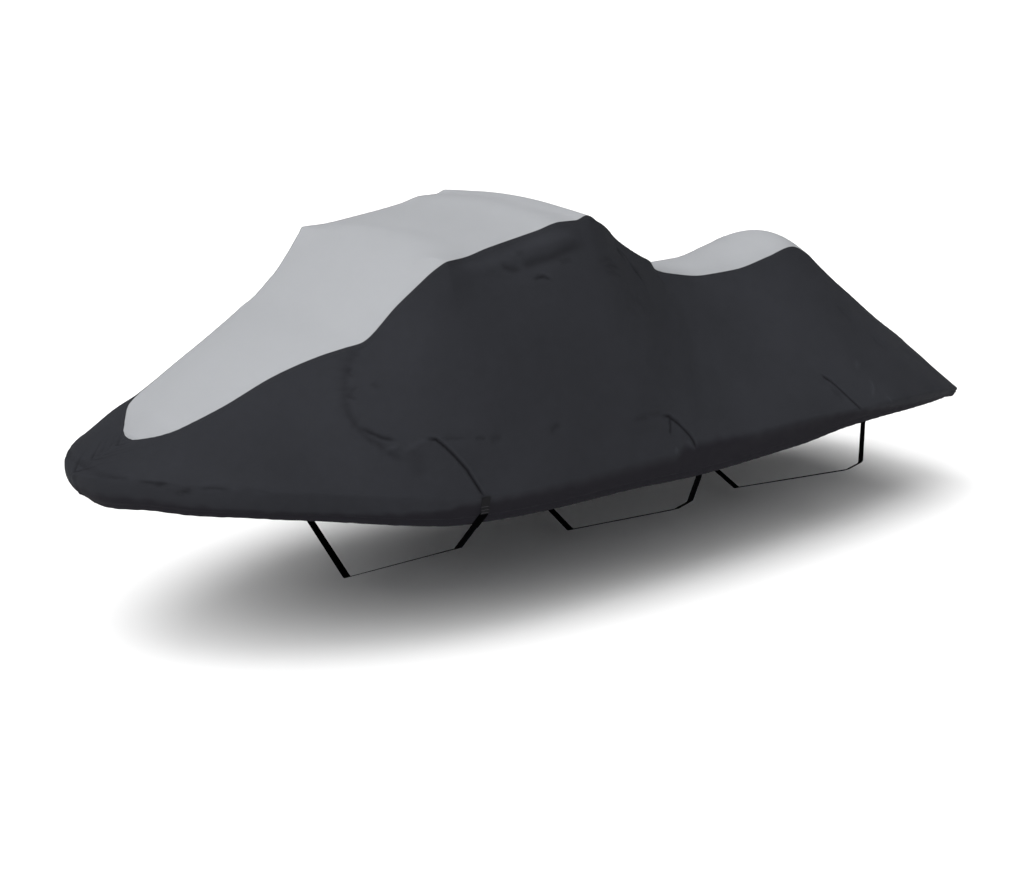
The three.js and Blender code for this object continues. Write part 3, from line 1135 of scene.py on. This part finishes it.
@dataclass(frozen=True)
class ClothFinish:
    """Matt coated cloth in a plain weave, with painted shade where it turns under, along its seams
    and in its folds, and painted highlights on its folds' ridges.

    Its lengths are in metres, and its scales are how many clouds of noise there are to the metre.
    """

    name: str
    colour: Colour
    turned_shade_colour: Colour
    roughness: float = 0.78
    roughness_spread: float = 0.12
    mottle: float = 0.10
    cloud_scale: float = 3.2
    dust_scale: float = 34.0
    fibre_scale: float = 420.0
    seam_shade: float = 0.45
    seam_shade_width: float = 0.0035
    shaded: float = 0.4
    painted_gleam: float = 1.8
    weave_pitch: float = 0.0016
    weave_height: float = 0.00018
    slub_height: float = 0.0006
    gloss: float = 0.05

    def make(self) -> bpy.types.Material:
        """Makes the material."""
        shader = Shader(self.name)
        cloudy = shader.noise(self.cloud_scale, 3.0)
        dusty = shader.noise(self.dust_scale, 4.0, 0.62)
        fibre = shader.noise(self.fibre_scale, 2.0)
        patchy = 0.55 * cloudy + 0.3 * dusty + 0.15 * fibre
        base = shader.mix(
            patchy.rise(0.3, 0.7),
            shade(self.colour, 1 - self.mottle),
            shade(self.colour, 1 + self.mottle),
        )
        # Painted shade: the band darkens where its cloth turns under and faces the floor.
        banded = shader.mix(shader.fact("turned_under_shade"), base, self.turned_shade_colour)
        # Painted shadow along the seams and painted shade in the folds' troughs.
        edge = 1 - shader.fact("from_seam").rise(0.0, self.seam_shade_width)
        held = self.seam_shade * edge + shader.fact("fold_shade")
        folded = shader.mix(held, banded, shade(self.turned_shade_colour, self.shaded))
        # Painted highlight: where the folds' shade is below nought, the colour is lightened on
        # what stands up.
        gleam_lit = shader.mix(-1 * held, folded, shade(self.colour, self.painted_gleam))
        warp = shader.fact("along").threads(self.weave_pitch)
        weft = shader.fact("across").threads(self.weave_pitch)
        weave = shader.bump(warp * weft, self.weave_height)
        slub = shader.bump(dusty + 0.4 * fibre, self.slub_height, weave)
        rough = self.roughness + self.roughness_spread * (dusty - 0.5)
        return shader.surface(
            Base_Color=gleam_lit,
            Roughness=rough,
            Normal=slub,
            Specular_IOR_Level=self.gloss,
        )


@dataclass(frozen=True)
class WebbingFinish:
    """Black polyester webbing with ribs along it and a fine cross weave."""

    name: str
    colour: Colour
    rib_pitch: float = 0.0021
    weft_pitch: float = 0.0026
    weave_height: float = 0.0004

    def make(self) -> bpy.types.Material:
        """Makes the material."""
        shader = Shader(self.name)
        dusty = shader.noise(60.0, 4.0)
        ribs = shader.fact("across").threads(self.rib_pitch)
        weft = shader.fact("along").threads(self.weft_pitch)
        weave = 0.5 + 0.32 * ribs + 0.18 * weft
        base = shader.mix(
            0.6 * weave + 0.4 * dusty, shade(self.colour, 0.65), shade(self.colour, 1.5)
        )
        bumps = shader.bump(weave, self.weave_height)
        return shader.surface(
            Base_Color=base,
            Roughness=0.72 + 0.15 * (dusty - 0.5),
            Normal=bumps,
            Specular_IOR_Level=0.0,
        )


@dataclass(frozen=True)
class ThreadFinish:
    """Twisted sewing thread."""

    name: str
    colour: Colour

    def make(self) -> bpy.types.Material:
        """Makes the material."""
        shader = Shader(self.name)
        dusty = shader.noise(900.0, 2.0)
        base = shader.mix(dusty, shade(self.colour, 0.8), shade(self.colour, 1.2))
        return shader.surface(Base_Color=base, Roughness=0.6, Normal=shader.bump(dusty, 0.0001))


@dataclass(frozen=True)
class FloorFinish:
    """A plain pale studio floor."""

    name: str
    colour: Colour

    def make(self) -> bpy.types.Material:
        """Makes the material."""
        shader = Shader(self.name)
        base = shader.mix(shader.noise(0.6, 2.0), shade(self.colour, 0.995), self.colour)
        return shader.surface(Base_Color=base, Roughness=0.9, Specular_IOR_Level=0.1)


# Each cloth's second colour is painted shade: for the band where it turns under, and in part for
# seams and folds.
DARK_CLOTH = ClothFinish(
    "dark_cloth_finish", (0.0203, 0.0212, 0.0250, 1.0), (0.0120, 0.0114, 0.0146, 1.0)
)
PALE_CLOTH = ClothFinish(
    "pale_cloth_finish", (0.288, 0.295, 0.308, 1.0), (0.17, 0.175, 0.18, 1.0), mottle=0.015
)
# The tab is the dark cloth given a darker colour, which is painted shade.
SHADED_TAB_CLOTH = ClothFinish(
    "tab_cloth_finish", (0.0150, 0.0152, 0.0162, 1.0), (0.0120, 0.0114, 0.0146, 1.0)
)
WEBBING = WebbingFinish("webbing_finish", (0.0012, 0.0012, 0.0013, 1.0))
DARK_THREAD = ThreadFinish("thread_finish", (0.014, 0.0145, 0.0175, 1.0))
PALE_THREAD = ThreadFinish("pale_thread_finish", (0.075, 0.075, 0.08, 1.0))
PALE_FLOOR = FloorFinish("pale_floor", (0.86, 0.86, 0.86, 1.0))


@dataclass
class Stitching:
    """Rows of stitches that lie on the cloth, each stitch a small faceted spindle."""

    pitch: float = 4.6
    length: float = 3.3
    width: float = 0.75
    height: float = 0.55
    proud: float = 0.3

    def build(
        self, name: str, form: CoverForm, rows: Sequence[tuple[Array, Array]], side: Side
    ) -> bpy.types.Object:
        """Makes one piece of all the stitches.

        Args:
            name: The piece's name.
            form: Turns the points into metres.
            rows: For each row of stitches its line of points and their normals.
            side: The side of the centre line; the lines themselves are the port ones.

        Returns:
            The new object.
        """
        points: list[Array] = []
        faces: list[tuple[int, ...]] = []
        for line, normals in rows:
            for corner in self._row(line, normals):
                first = 6 * len(points)
                points.append(corner)
                ring = [first + 1, first + 2, first + 3, first + 4]
                for a, b in zip(ring, ring[1:] + ring[:1]):
                    faces += [(first, a, b), (first + 5, b, a)]
        joined = np.concatenate(points)
        if side is Side.STARBOARD:
            joined = joined * MIRROR
            faces = [face[::-1] for face in faces]
        return new_piece(name, form.to_metres(joined), faces, 80.0)

    def _row(self, line: Array, normals: Array) -> list[Array]:
        """The six corners of each stitch along a line."""
        walked = run_length(line, 0)
        count = int(walked[-1] // self.pitch)
        middles = (np.arange(count) + 0.5) * self.pitch
        ahead = at_distance(middles + self.length / 2, walked, line)
        behind = at_distance(middles - self.length / 2, walked, line)
        up = unit(at_distance(middles, walked, normals))
        along = unit(ahead - behind)
        sideways = np.cross(up, along) * (self.width / 2)
        rise = up * (self.height / 2)
        lifted = at_distance(middles, walked, line) + up * (self.proud * self.height)
        return [
            np.stack([b, c + w, c + r, c - w, c - r, a])
            for a, b, c, w, r in zip(ahead, behind, lifted, sideways, rise)
        ]


def line_below(points: Array, distance: float, from_foot: bool) -> Array:
    """A line on a grid at one distance from its first or its last column.

    Args:
        points: The grid.
        distance: How far from the column, measured on the cloth.
        from_foot: Whether to measure from the last column.

    Returns:
        For each row the place among its columns, which may lie between two of them.
    """
    walked = run_length(points, 1)
    if from_foot:
        goal = walked[:, -1] - distance
    else:
        goal = np.full(len(points), distance)
    columns = np.arange(points.shape[1])
    return np.array([np.interp(g, row, columns) for g, row in zip(goal, walked)])


def on_grid(values: Array, place: Array) -> Array:
    """A grid's values at one place in each row, between its columns."""
    low = np.clip(np.floor(place).astype(int), 0, values.shape[1] - 2)
    share = (place - low)[:, None]
    rows = np.arange(len(place))
    return values[rows, low] * (1 - share) + values[rows, low + 1] * share


@dataclass
class SidePanel:
    """The dark cloth of one side, round bow and stern, with its elastic hem."""

    side: Side
    form: CoverForm
    flank_columns: int = 110
    band_columns: int = 14
    crowding: float = 1.3
    cloth: float = 1.6
    hem_cloth: float = 3.6
    lap: float = 11.0
    lap_height: float = 0.9
    stitch_rows: tuple[float, ...] = (3.6, 9.2)
    casing: float = 24.0
    casing_swell: float = 0.8
    casing_groove: float = 0.9
    edge_round: float = 1.4
    drawn_up: float = 8.0
    seam_gather: Gather = Gather(27.0, 0.35, 22.0)
    hem_gather: Gather = Gather(46.0, 0.9, 34.0, 2.0)
    nose_ends: tuple[float, float] = (-1240.0, -1180.0)
    stern_starts: tuple[float, float] = (1590.0, 1630.0)
    centre_lap: tuple[float, float] = (9.0, 12.0)
    centre_lap_height: float = 0.8
    pucker: Gather = Gather(27.0, 1.0, 34.0, 3.0)
    pucker_slant: float = 0.7
    pucker_shade: float = 0.4
    most_shade: float = 0.9
    starboard_shift: float = 1.9
    loose_stretch: tuple[float, float] = (-1180.0, 1350.0)

    @property
    def name(self) -> str:
        """The piece's name."""
        return f"{self.side.name.lower()}_side_cloth"

    def _shares(self, total: Array, near: Sequence[float], count: int) -> Array:
        """Shares of a stretch with columns at fixed distances from its start.

        Args:
            total: The stretch's length at each station.
            near: The fixed distances.
            count: How many columns there are in all, with both ends.

        Returns:
            A grid of shares from 0 to 1.
        """
        fixed = np.minimum(np.array(near)[None] / total[:, None], 0.6)
        rest = np.linspace(0, 1, count - len(near) + 1)[None, 1:]
        start = fixed[:, -1:]
        return np.concatenate([fixed, start + (1 - start) * rest], axis=1)

    def grid(self, s: Array) -> tuple[Array, int]:
        """The form's points for this panel, and the column of the rail line."""
        form = self.form
        flank_length = np.linalg.norm(form.rail(s) - form.seam(s), axis=-1)
        near_seam = (0.0, 1.2, 5.0, self.lap - 1.5, self.lap + 0.5, self.lap + 3.0)
        shares = self._shares(flank_length, near_seam, self.flank_columns)
        share = 1 - (1 - shares) ** self.crowding
        loose = smooth(share, 0.0, 0.22) * (1 - smooth(share, 0.8, 1))
        flank = form.draped(form.flank, s, share, loose, self.loose_stretch)
        band_length = np.linalg.norm(form.rail(s) - form.foot(s), axis=-1)
        near_foot = (0.0, 1.5, 5.0, 12.0, 19.0, 22.5, self.casing, self.casing + 2.0)
        up = self._shares(band_length, near_foot, self.band_columns)
        band = form.band(s, 1 - up[:, ::-1])
        turn = self.flank_columns - 1
        joined = np.concatenate([flank, band[:, 1:]], axis=1)
        return soften(joined, turn, reach=5, rounds=14), turn

    def relief(self, points: Array, turn: int) -> tuple[Array, Array]:
        """How far folds, seams, gathers and waves lift the cloth.

        Args:
            points: The form's points.
            turn: The column of the rail line.

        Returns:
            The lift at each point, and the shade that the folds hold there.
        """
        from_centre = np.abs(points[..., 1])
        shift = self.starboard_shift if self.side is Side.STARBOARD else 0.0
        shift = shift * smooth(from_centre, 0, 150)
        from_seam = run_length(points, 1)
        from_foot = from_seam[:, -1:] - from_seam
        below_rail = from_seam - from_seam[:, turn : turn + 1]
        along_seam = run_length(points[:, :1], 0)
        along_foot = run_length(points[:, -1:], 0)
        lift = waves(points, shift) * smooth(from_seam, 0, 60) * smooth(from_foot, 0, 60)
        folds, dark = self._folds(points, from_seam, below_rail)
        lift += folds
        lift += self.lap_height * (1 - smooth(from_seam, self.lap - 1.5, self.lap + 1.5))
        lift += self.seam_gather.lift(along_seam, from_seam, shift)
        lift += self.hem_gather.lift(along_foot, from_foot, shift)
        lift += 0.7 * ripple(along_foot, 83, 5 + shift) * bell(below_rail, 16)
        lift += self.casing_swell * np.sin(np.pi * np.clip(from_foot / self.casing, 0, 1))
        lift -= self.casing_groove * bell(from_foot - self.casing, 2.2)
        lift -= self.edge_round * (1 - smooth(from_foot, 0, 3))
        puckers = self._centre_seam(points[..., 0], from_centre, from_seam, shift)
        dark += self.pucker_shade * np.maximum(-puckers, 0) * smooth(from_seam, 8, 40)
        return lift + puckers, np.clip(dark, -self.most_shade, self.most_shade)

    def _folds(self, points: Array, from_seam: Array, below_rail: Array) -> tuple[Array, Array]:
        """The flank's folds, which end at the seam and where the hem band turns under.

        Args:
            points: The form's points.
            from_seam: How far down the cloth each lies from the seam.
            below_rail: How far down the cloth each lies from the rail line.

        Returns:
            The lift at each point, and the shade that the folds hold there.
        """
        x, z = points[..., 0], points[..., 2]
        at_bow = 1 - smooth(x, -1140, -1060)
        above_band = 1 - smooth(below_rail, 30 * at_bow, 14 + 36 * at_bow)
        on_flank = above_band * smooth(from_seam, 0, 10)
        lies = [crease.lie(x, z) for crease in FLANK_CREASES]
        lift, held = (on_flank * sum(parts) for parts in zip(*lies))
        return lift, held

    def _centre_seam(
        self, x: Array, from_centre: Array, from_seam: Array, shift: Array
    ) -> Array:
        """The lap and the puckers beside the centre seams at bow and stern.

        Args:
            x: The points' X.
            from_centre: How far each lies from the centre line.
            from_seam: How far down the cloth each lies from the pale cloth's seam.
            shift: Moves the puckers along.

        Returns:
            How far the cloth is lifted.
        """
        nose = 1 - smooth(x, *self.nose_ends)
        at_ends = nose + smooth(x, *self.stern_starts)
        slanted = from_seam + self.pucker_slant * from_centre
        puckers = self.pucker.lift(slanted, from_centre, shift)
        lap = self.centre_lap_height * (1 - smooth(from_centre, *self.centre_lap))
        return at_ends * (lap + (0.7 + 1.5 * nose) * puckers)

    def build(self) -> list[bpy.types.Object]:
        """Makes the cloth and its stitching.

        Returns:
            The cloth first, then the pieces on it.
        """
        form = self.form
        s, _, _ = form.stations()
        base, turn = self.grid(s)
        base[[0, -1], :, 1] = 0.0
        lift, dark = self.relief(base, turn)
        outer = base + self._normals(base) * lift[..., None]
        outer[..., 2] += self._drawn_up(base)
        normals = self._normals(outer)
        from_seam = run_length(base, 1)
        from_foot = from_seam[:, -1:] - from_seam
        hem_share = smooth(from_foot, self.casing + 1, self.casing - 1)
        thickness = self.cloth + (self.hem_cloth - self.cloth) * hem_share
        facts = {
            "from_seam": from_seam * MM,
            "across": from_seam * MM,
            "along": run_length(base, 0) * MM,
            # The band's painted shade, and the folds' painted shade and painted highlights.
            "turned_under_shade": self._turned_under(s, from_seam, turn),
            "fold_shade": dark,
        }
        cloth = Shell(outer, normals, thickness, facts).build(self.name, form, self.side)
        places = {
            "topstitch": [line_below(outer, row, False) for row in self.stitch_rows],
            "hem_stitch": [line_below(outer, self.casing, True)],
        }
        threads = []
        for kind, lines in places.items():
            rows = [(on_grid(outer, line), on_grid(normals, line)) for line in lines]
            threads.append(Stitching().build(f"{self.name}_{kind}", form, rows, self.side))
        return [cloth, *threads]

    @staticmethod
    def _normals(points: Array) -> Array:
        """The grid's normals, kept level with the centre line along its two centre seams."""
        normals = grid_normals(points)
        normals[[0, -1], :, 1] = 0.0
        return unit(normals)

    def _drawn_up(self, points: Array) -> Array:
        """How far the elastic draws the hem up where its ends meet at the bow."""
        from_foot = run_length(points[:, ::-1], 1)[:, ::-1]
        at_bow = bell(points[..., 1], 26) * (1 - smooth(points[..., 0], -1300, -1200))
        return self.drawn_up * at_bow * np.exp(-from_foot / 22)

    def _turned_under(self, s: Array, from_seam: Array, turn: int) -> Array:
        """How far the band's cloth has turned under, from 0 to 1, which is how far its colour
        takes painted shade.
        """
        curves = self.form.turn_curves
        along = run_length(self.form.rail(s), 0)[:, None]
        share = curves("share", s)[:, None] + 0.05 * ripple(along, 70, 0.3)
        soft = curves("soft", s)[:, None]
        start = from_seam[:, turn : turn + 1]
        down = (from_seam - start) / np.maximum(from_seam[:, -1:] - start, 1e-6)
        return smooth(down, share - soft, share + soft)


@dataclass
class CentrePanel:
    """The pale cloth down the middle of the cover, from the bow to the stern."""

    form: CoverForm
    half_columns: int = 40
    cloth: float = 1.6
    seam_gather: Gather = Gather(27.0, 0.4, 20.0, 0.6)
    wave_share: float = 0.7
    wave_shift: float = 0.8
    loose_stretch: tuple[float, float] = (-1000.0, -330.0)

    def build(self) -> bpy.types.Object:
        """Makes the cloth."""
        form = self.form
        s, tip, tail = form.stations()
        s = s[tip : tail + 1]
        share = np.linspace(0, 1, self.half_columns + 1)[None] + 0 * s[:, None]
        loose = 1 - smooth(share, 0.55, 1)
        half = form.draped(form.crown, s, share, loose, self.loose_stretch)
        mirrored = half[:, :0:-1] * MIRROR
        base = np.concatenate([mirrored, half], axis=1)
        normals = grid_normals(base)
        walked = run_length(base, 1)
        to_edge = np.minimum(walked, walked[:, -1:] - walked)
        along = run_length(base[:, :1], 0)
        lift = self.wave_share * waves(base, self.wave_shift) * smooth(to_edge, 0, 60)
        lift += self.seam_gather.lift(along, to_edge)
        outer = base + normals * lift[..., None]
        facts = {
            "from_seam": to_edge * MM,
            "across": walked * MM,
            "along": run_length(base, 0) * MM,
            "turned_under_shade": np.zeros(to_edge.shape),
            "fold_shade": np.zeros(to_edge.shape),
        }
        thickness = np.full(to_edge.shape, self.cloth)
        shell = Shell(outer, grid_normals(outer), thickness, facts)
        return shell.build("centre_cloth", form, Side.PORT)


@dataclass
class Ribbon:
    """A flat strip with rounded edges, swept along a line."""

    line: Array
    across: Array
    face: Array
    width: float
    thickness: float

    def build(self, name: str, form: CoverForm) -> bpy.types.Object:
        """Makes the strip's mesh and object.

        Args:
            name: The piece's name.
            form: Turns the points into metres.

        Returns:
            The new object.
        """
        half_width, half_thick = self.width / 2, self.thickness / 2
        edge = half_width - 0.7 * half_thick
        outline = (
            (-edge, half_thick),
            (0, half_thick),
            (edge, half_thick),
            (half_width, 0),
            (edge, -half_thick),
            (0, -half_thick),
            (-edge, -half_thick),
            (-half_width, 0),
        )
        rings = [self.line + self.across * a + self.face * b for a, b in outline]
        points = np.stack(rings, axis=1)
        count, around = points.shape[:2]
        index = np.arange(count * around).reshape(count, around)
        beside = np.roll(index, -1, axis=1)
        sides = np.stack([index[1:], beside[1:], beside[:-1], index[:-1]], -1)
        faces = [tuple(side) for side in sides.reshape(-1, 4).tolist()]
        faces += [tuple(index[0].tolist()), tuple(index[-1, ::-1].tolist())]
        piece = new_piece(name, form.to_metres(points.reshape(-1, 3)), faces)
        set_fact(piece, "along", np.repeat(run_length(self.line, 0), around) * MM)
        set_fact(piece, "across", np.tile([a for a, _ in outline], count) * MM)
        return piece

    def stitch_row(
        self, start: tuple[float, float], stop: tuple[float, float]
    ) -> tuple[Array, Array]:
        """A row of stitches on the strip's outer face.

        Args:
            start: How far across and how far along the strip the row starts.
            stop: How far across and how far along it ends.

        Returns:
            The row's points and their normals.
        """
        path = np.linspace(start, stop, 9)
        walked = run_length(self.line, 0)
        line, across, face = (
            at_distance(path[:, 1], walked, values)
            for values in (self.line, self.across, self.face)
        )
        return line + across * path[:, :1] + face * (self.thickness / 2), face


@dataclass
class Strap:
    """Flat webbing from the port hem round the underside to the starboard hem.

    One that slants hangs straight from its top to the hinge and then runs towards the bow. One
    that lies outside the hem is held there by a tab of the cover's cloth, sewn over its top. Each
    of its turns is an X, a distance from the centre line and a height.
    """

    name: str
    form: CoverForm
    x: float
    rise: float
    turns: tuple[tuple[float, float, float], ...]
    hinge: float = 0.0
    slant: float = 0.0
    outside: bool = False
    width: float = 25.0
    thickness: float = 1.8
    clearance: float = 0.4
    hem_cloth: float = 4.0
    bend: float = 16.0
    lip: float = 8.0
    steps_in_bend: int = 10
    longest_step: float = 12.0
    tab_top: float = 81.0
    tab_width: float = 27.0
    tab_cloth: float = 1.4
    tab_rows: tuple[float, ...] = (4.0, 13.0, 22.0)

    def _hem(self) -> tuple[Array, Array, Array, Array]:
        """The hem's foot where the strap starts, and the directions up, along and out of it."""
        form = self.form
        s = np.interp([self.x], form.rail(FINE_STATIONS)[:, 0], FINE_STATIONS)
        foot, rail, outward = form.foot(s)[0], form.rail(s)[0], form.outward(s)[0]
        up = unit(rail - foot)
        along_hem = unit(np.cross((0, 0, 1), outward))
        return foot, up, along_hem, unit(np.cross(along_hem, up))

    def _centre_line(self) -> Array:
        """The strap's centre line, from the port hem to the starboard one."""
        foot, up, along_hem, out_of_band = self._hem()
        half = self.thickness / 2
        inward = -(self.hem_cloth + self.clearance + half)
        offset = self.clearance + half if self.outside else inward
        heights = (self.rise, self.hinge, -self.lip) if self.slant else (self.rise, -self.lip)
        ends = [
            foot
            + up * height
            + out_of_band * offset
            - along_hem * self.slant * max(0.0, self.hinge - height)
            for height in heights
        ]
        port = [*ends, *(np.array([x, -half_width, z]) for x, half_width, z in self.turns)]
        starboard = [point * MIRROR for point in reversed(port[:-1])]
        return self._rounded([*port, *starboard])

    def _rounded(self, points: list[Array]) -> Array:
        """The path with its corners turned on the strap's bend and points close together."""
        turned = [points[0]]
        for before, corner, after in zip(points, points[1:], points[2:]):
            back, on = before - corner, after - corner
            lengths = np.linalg.norm(back), np.linalg.norm(on)
            cosine = np.dot(back, on) / (lengths[0] * lengths[1])
            half = math.acos(np.clip(cosine, -1, 1)) / 2
            reach = min(self.bend / math.tan(half), 0.45 * lengths[0], 0.45 * lengths[1])
            start, end = corner + unit(back) * reach, corner + unit(on) * reach
            for t in np.linspace(0, 1, self.steps_in_bend + 1):
                turned.append((1 - t) ** 2 * start + 2 * t * (1 - t) * corner + t**2 * end)
        turned.append(points[-1])
        line = [turned[0]]
        for start, end in zip(turned, turned[1:]):
            count = max(1, math.ceil(np.linalg.norm(end - start) / self.longest_step))
            line += [start + (end - start) * k / count for k in range(1, count + 1)]
        return np.array(line)

    def webbing(self) -> Ribbon:
        """The strip of webbing, which turns from the hem's direction to lie level underneath."""
        line = self._centre_line()
        foot, _, along_hem, _ = self._hem()
        direction = unit(np.gradient(line, axis=0))
        lowest = line[:, 2].min()
        share = np.clip((line[:, 2] - lowest) / (foot[2] - lowest), 0, 1)[:, None]
        port = (line[:, 1] < 0)[:, None]
        hemward = np.where(port, along_hem, along_hem * MIRROR)
        wanted = np.array([1.0, 0, 0]) * (1 - share) + hemward * share
        face = unit(np.cross(wanted, direction))
        return Ribbon(line, unit(np.cross(direction, face)), face, self.width, self.thickness)

    def tab(self, side: Side) -> Ribbon:
        """The strip of cloth that is sewn over the strap's top and on to the band above it."""
        foot, up, along_hem, out_of_band = self._hem()
        over = self.clearance + self.thickness + 0.5 * self.tab_cloth
        flat = 0.5 * self.tab_cloth
        heights = np.array([self.hinge, self.rise - 4, self.rise + 6, self.tab_top])
        lifts = np.array([over, over, flat + 0.8, flat + 0.4])
        fine = np.linspace(heights[0], heights[-1], 19)
        lift = np.interp(fine, heights, lifts)[:, None]
        line = foot + up * fine[:, None] + out_of_band * lift
        turned = np.array([1, -side.value, 1])
        across = np.broadcast_to(along_hem, line.shape)
        face = unit(np.cross(across, np.gradient(line, axis=0)))
        line, across, face = line * turned, across * turned, face * turned
        return Ribbon(line, across, face, self.tab_width, self.tab_cloth)

    def build_tabs(self) -> list[tuple[bpy.types.Object, bpy.types.Object]]:
        """Makes the tab and its rows of stitches on both sides."""
        made = []
        for side in Side if self.outside else ():
            name = f"{side.name.lower()}_{self.name}_tab"
            ribbon = self.tab(side)
            half = self.tab_width / 2 - 2
            rows = [ribbon.stitch_row((-half, row), (half, row)) for row in self.tab_rows]
            cloth = ribbon.build(name, self.form)
            stitches = Stitching(pitch=2.6, length=2.1, width=1.1)
            thread = stitches.build(f"{name}_stitch", self.form, rows, Side.PORT)
            made.append((cloth, thread))
        return made

    def build(self) -> list[bpy.types.Object]:
        """Makes the webbing, and the stitches at its two ends where they show.

        Returns:
            The webbing first, then its stitches.
        """
        ribbon = self.webbing()
        piece = ribbon.build(self.name, self.form)
        length = float(run_length(ribbon.line, 0)[-1])
        log.info("%s: %.3f m long", self.name, length * MM)
        if self.outside:
            return [piece]
        return [piece, self._end_stitches(ribbon, length)]

    def _end_stitches(self, ribbon: Ribbon, length: float) -> bpy.types.Object:
        """A sewn box with a cross in it at each end of the strap."""
        inset, near, far = self.width / 2 - 3.5, 4.0, self.rise - 6.0
        corners = ((-inset, near), (inset, near), (inset, far), (-inset, far))
        paths = [*zip(corners, corners[1:] + corners[:1])]
        paths += [(corners[0], corners[2]), (corners[1], corners[3])]
        rows = []
        for start, stop in paths:
            far_start, far_stop = (start[0], length - start[1]), (stop[0], length - stop[1])
            rows += [ribbon.stitch_row(start, stop), ribbon.stitch_row(far_start, far_stop)]
        return Stitching(pitch=3.4, length=2.6).build(
            f"{self.name}_box_stitch", self.form, rows, Side.PORT
        )


@dataclass
class Studio:
    """The camera at the photograph's angle, a plain pale floor and soft light."""

    form: CoverForm
    camera_at: tuple[float, float, float] = (-3.022, -3.980, 1.824)
    azimuth: float = -37.1
    elevation: float = 16.04
    lens: float = 57.7
    floor_size: float = 300.0
    sky: float = 0.1
    spread: float = 60.0
    lights: tuple[tuple[float, tuple[float, float, float]], ...] = (
        (1.3, (0.0, 0.0, 1.0)),
        (2.6, (-0.643, 0.0, 0.766)),
        (1.25, (-0.454, -0.454, 0.766)),
        (0.6, (0.0, -0.643, 0.766)),
        (0.15, (0.927, 0.0, 0.375)),
    )

    def place_camera(self) -> None:
        """Makes the camera and sets it as the scene's own."""
        a, e = math.radians(self.azimuth), math.radians(self.elevation)
        back = Vector((math.sin(a) * math.cos(e), -math.cos(a) * math.cos(e), math.sin(e)))
        data = bpy.data.cameras.new("camera")
        data.lens, data.sensor_width = self.lens, 36.0
        data.clip_end = 1000.0
        camera = bpy.data.objects.new("camera", data)
        camera.location = Vector(self.camera_at) - Vector((0, 0, self.form.lift * MM))
        camera.rotation_mode = "QUATERNION"
        camera.rotation_quaternion = (-back).to_track_quat("-Z", "Y")
        bpy.context.scene.collection.objects.link(camera)
        bpy.context.scene.camera = camera

    def light(self) -> None:
        """Makes the broad lights and the even sky."""
        scene = bpy.context.scene
        scene.view_settings.view_transform = "Standard"
        world = bpy.data.worlds.new("studio")
        world.use_nodes = True
        background = world.node_tree.nodes["Background"]
        background.inputs["Color"].default_value = (1.0, 1.0, 1.0, 1.0)
        background.inputs["Strength"].default_value = self.sky
        scene.world = world
        for number, (energy, toward) in enumerate(self.lights):
            data = bpy.data.lights.new(f"softbox_{number}", "SUN")
            data.energy, data.angle = energy, math.radians(self.spread)
            lamp = bpy.data.objects.new(f"softbox_{number}", data)
            lamp.rotation_mode = "QUATERNION"
            lamp.rotation_quaternion = Vector(toward).to_track_quat("Z", "Y")
            scene.collection.objects.link(lamp)

    def lay_floor(self) -> None:
        """Makes the floor, at the height that the tables are measured from."""
        half = self.floor_size / 2
        low = -self.form.lift * MM
        corners = ((-half, -half), (half, -half), (half, half), (-half, half))
        points = np.array([(x, y, low) for x, y in corners])
        floor = new_piece("floor", points, [(0, 1, 2, 3)])
        floor.data.materials.append(PALE_FLOOR.make())


def straps(form: CoverForm) -> tuple[Strap, ...]:
    """The three straps, from bow to stern."""
    front = ((-590, 520, 296), (-632, 0, 62))
    middle = ((230, 566, 280), (230, 506, 239), (230, 0, 32))
    rear = ((1003, 556, 258), (1000, 502, 220), (996, 0, 30))
    return (
        Strap("front_webbing", form, -550, 46, front, hinge=29, slant=0.78, outside=True),
        Strap("middle_webbing", form, 230, 40, middle),
        Strap("rear_webbing", form, 1013, 34, rear),
    )


def dress(
    pieces: Sequence[bpy.types.Object], finish: bpy.types.Material, slot: str
) -> None:
    """Gives pieces their finish, puts them on the cover and reports them.

    Args:
        pieces: The pieces.
        finish: Their material.
        slot: The record's material slot that it stands for.
    """
    for piece in pieces:
        piece.data.materials.append(finish)
        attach(piece, "root")
        log.info("%s: %d faces, %s", piece.name, len(piece.data.polygons), slot)


def main() -> None:
    """Builds the studio, the cloth and the straps."""
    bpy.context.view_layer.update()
    form = CoverForm()
    studio = Studio(form)
    studio.place_camera()
    studio.light()
    studio.lay_floor()

    dark, pale, webbing = DARK_CLOTH.make(), PALE_CLOTH.make(), WEBBING.make()
    # The tabs' finish is the dark cloth darkened with painted shade.
    tab_cloth, thread, pale_thread = SHADED_TAB_CLOTH.make(), DARK_THREAD.make(), PALE_THREAD.make()

    for side in Side:
        cloth, *stitches = SidePanel(side, form).build()
        dress([cloth], dark, "dark_cloth")
        dress(stitches, thread, "dark_cloth")
        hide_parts(f"{side.name.lower()}_side_panel")
        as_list(stitches)

    pale_cloth = CentrePanel(form).build()
    dress([pale_cloth], pale, "pale_cloth")
    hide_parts("centre_panel")

    for strap in straps(form):
        piece, *stitches = strap.build()
        dress([piece], webbing, "webbing")
        dress(stitches, thread, "webbing")
        for cloth, seam in strap.build_tabs():
            dress([cloth], tab_cloth, "dark_cloth")
            dress([seam], pale_thread, "dark_cloth")
            stitches += [cloth, seam]
        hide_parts(strap.name.replace("webbing", "strap"))
        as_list(stitches)


if __name__ == "__main__":
    logging.basicConfig(level=logging.INFO)
    main()
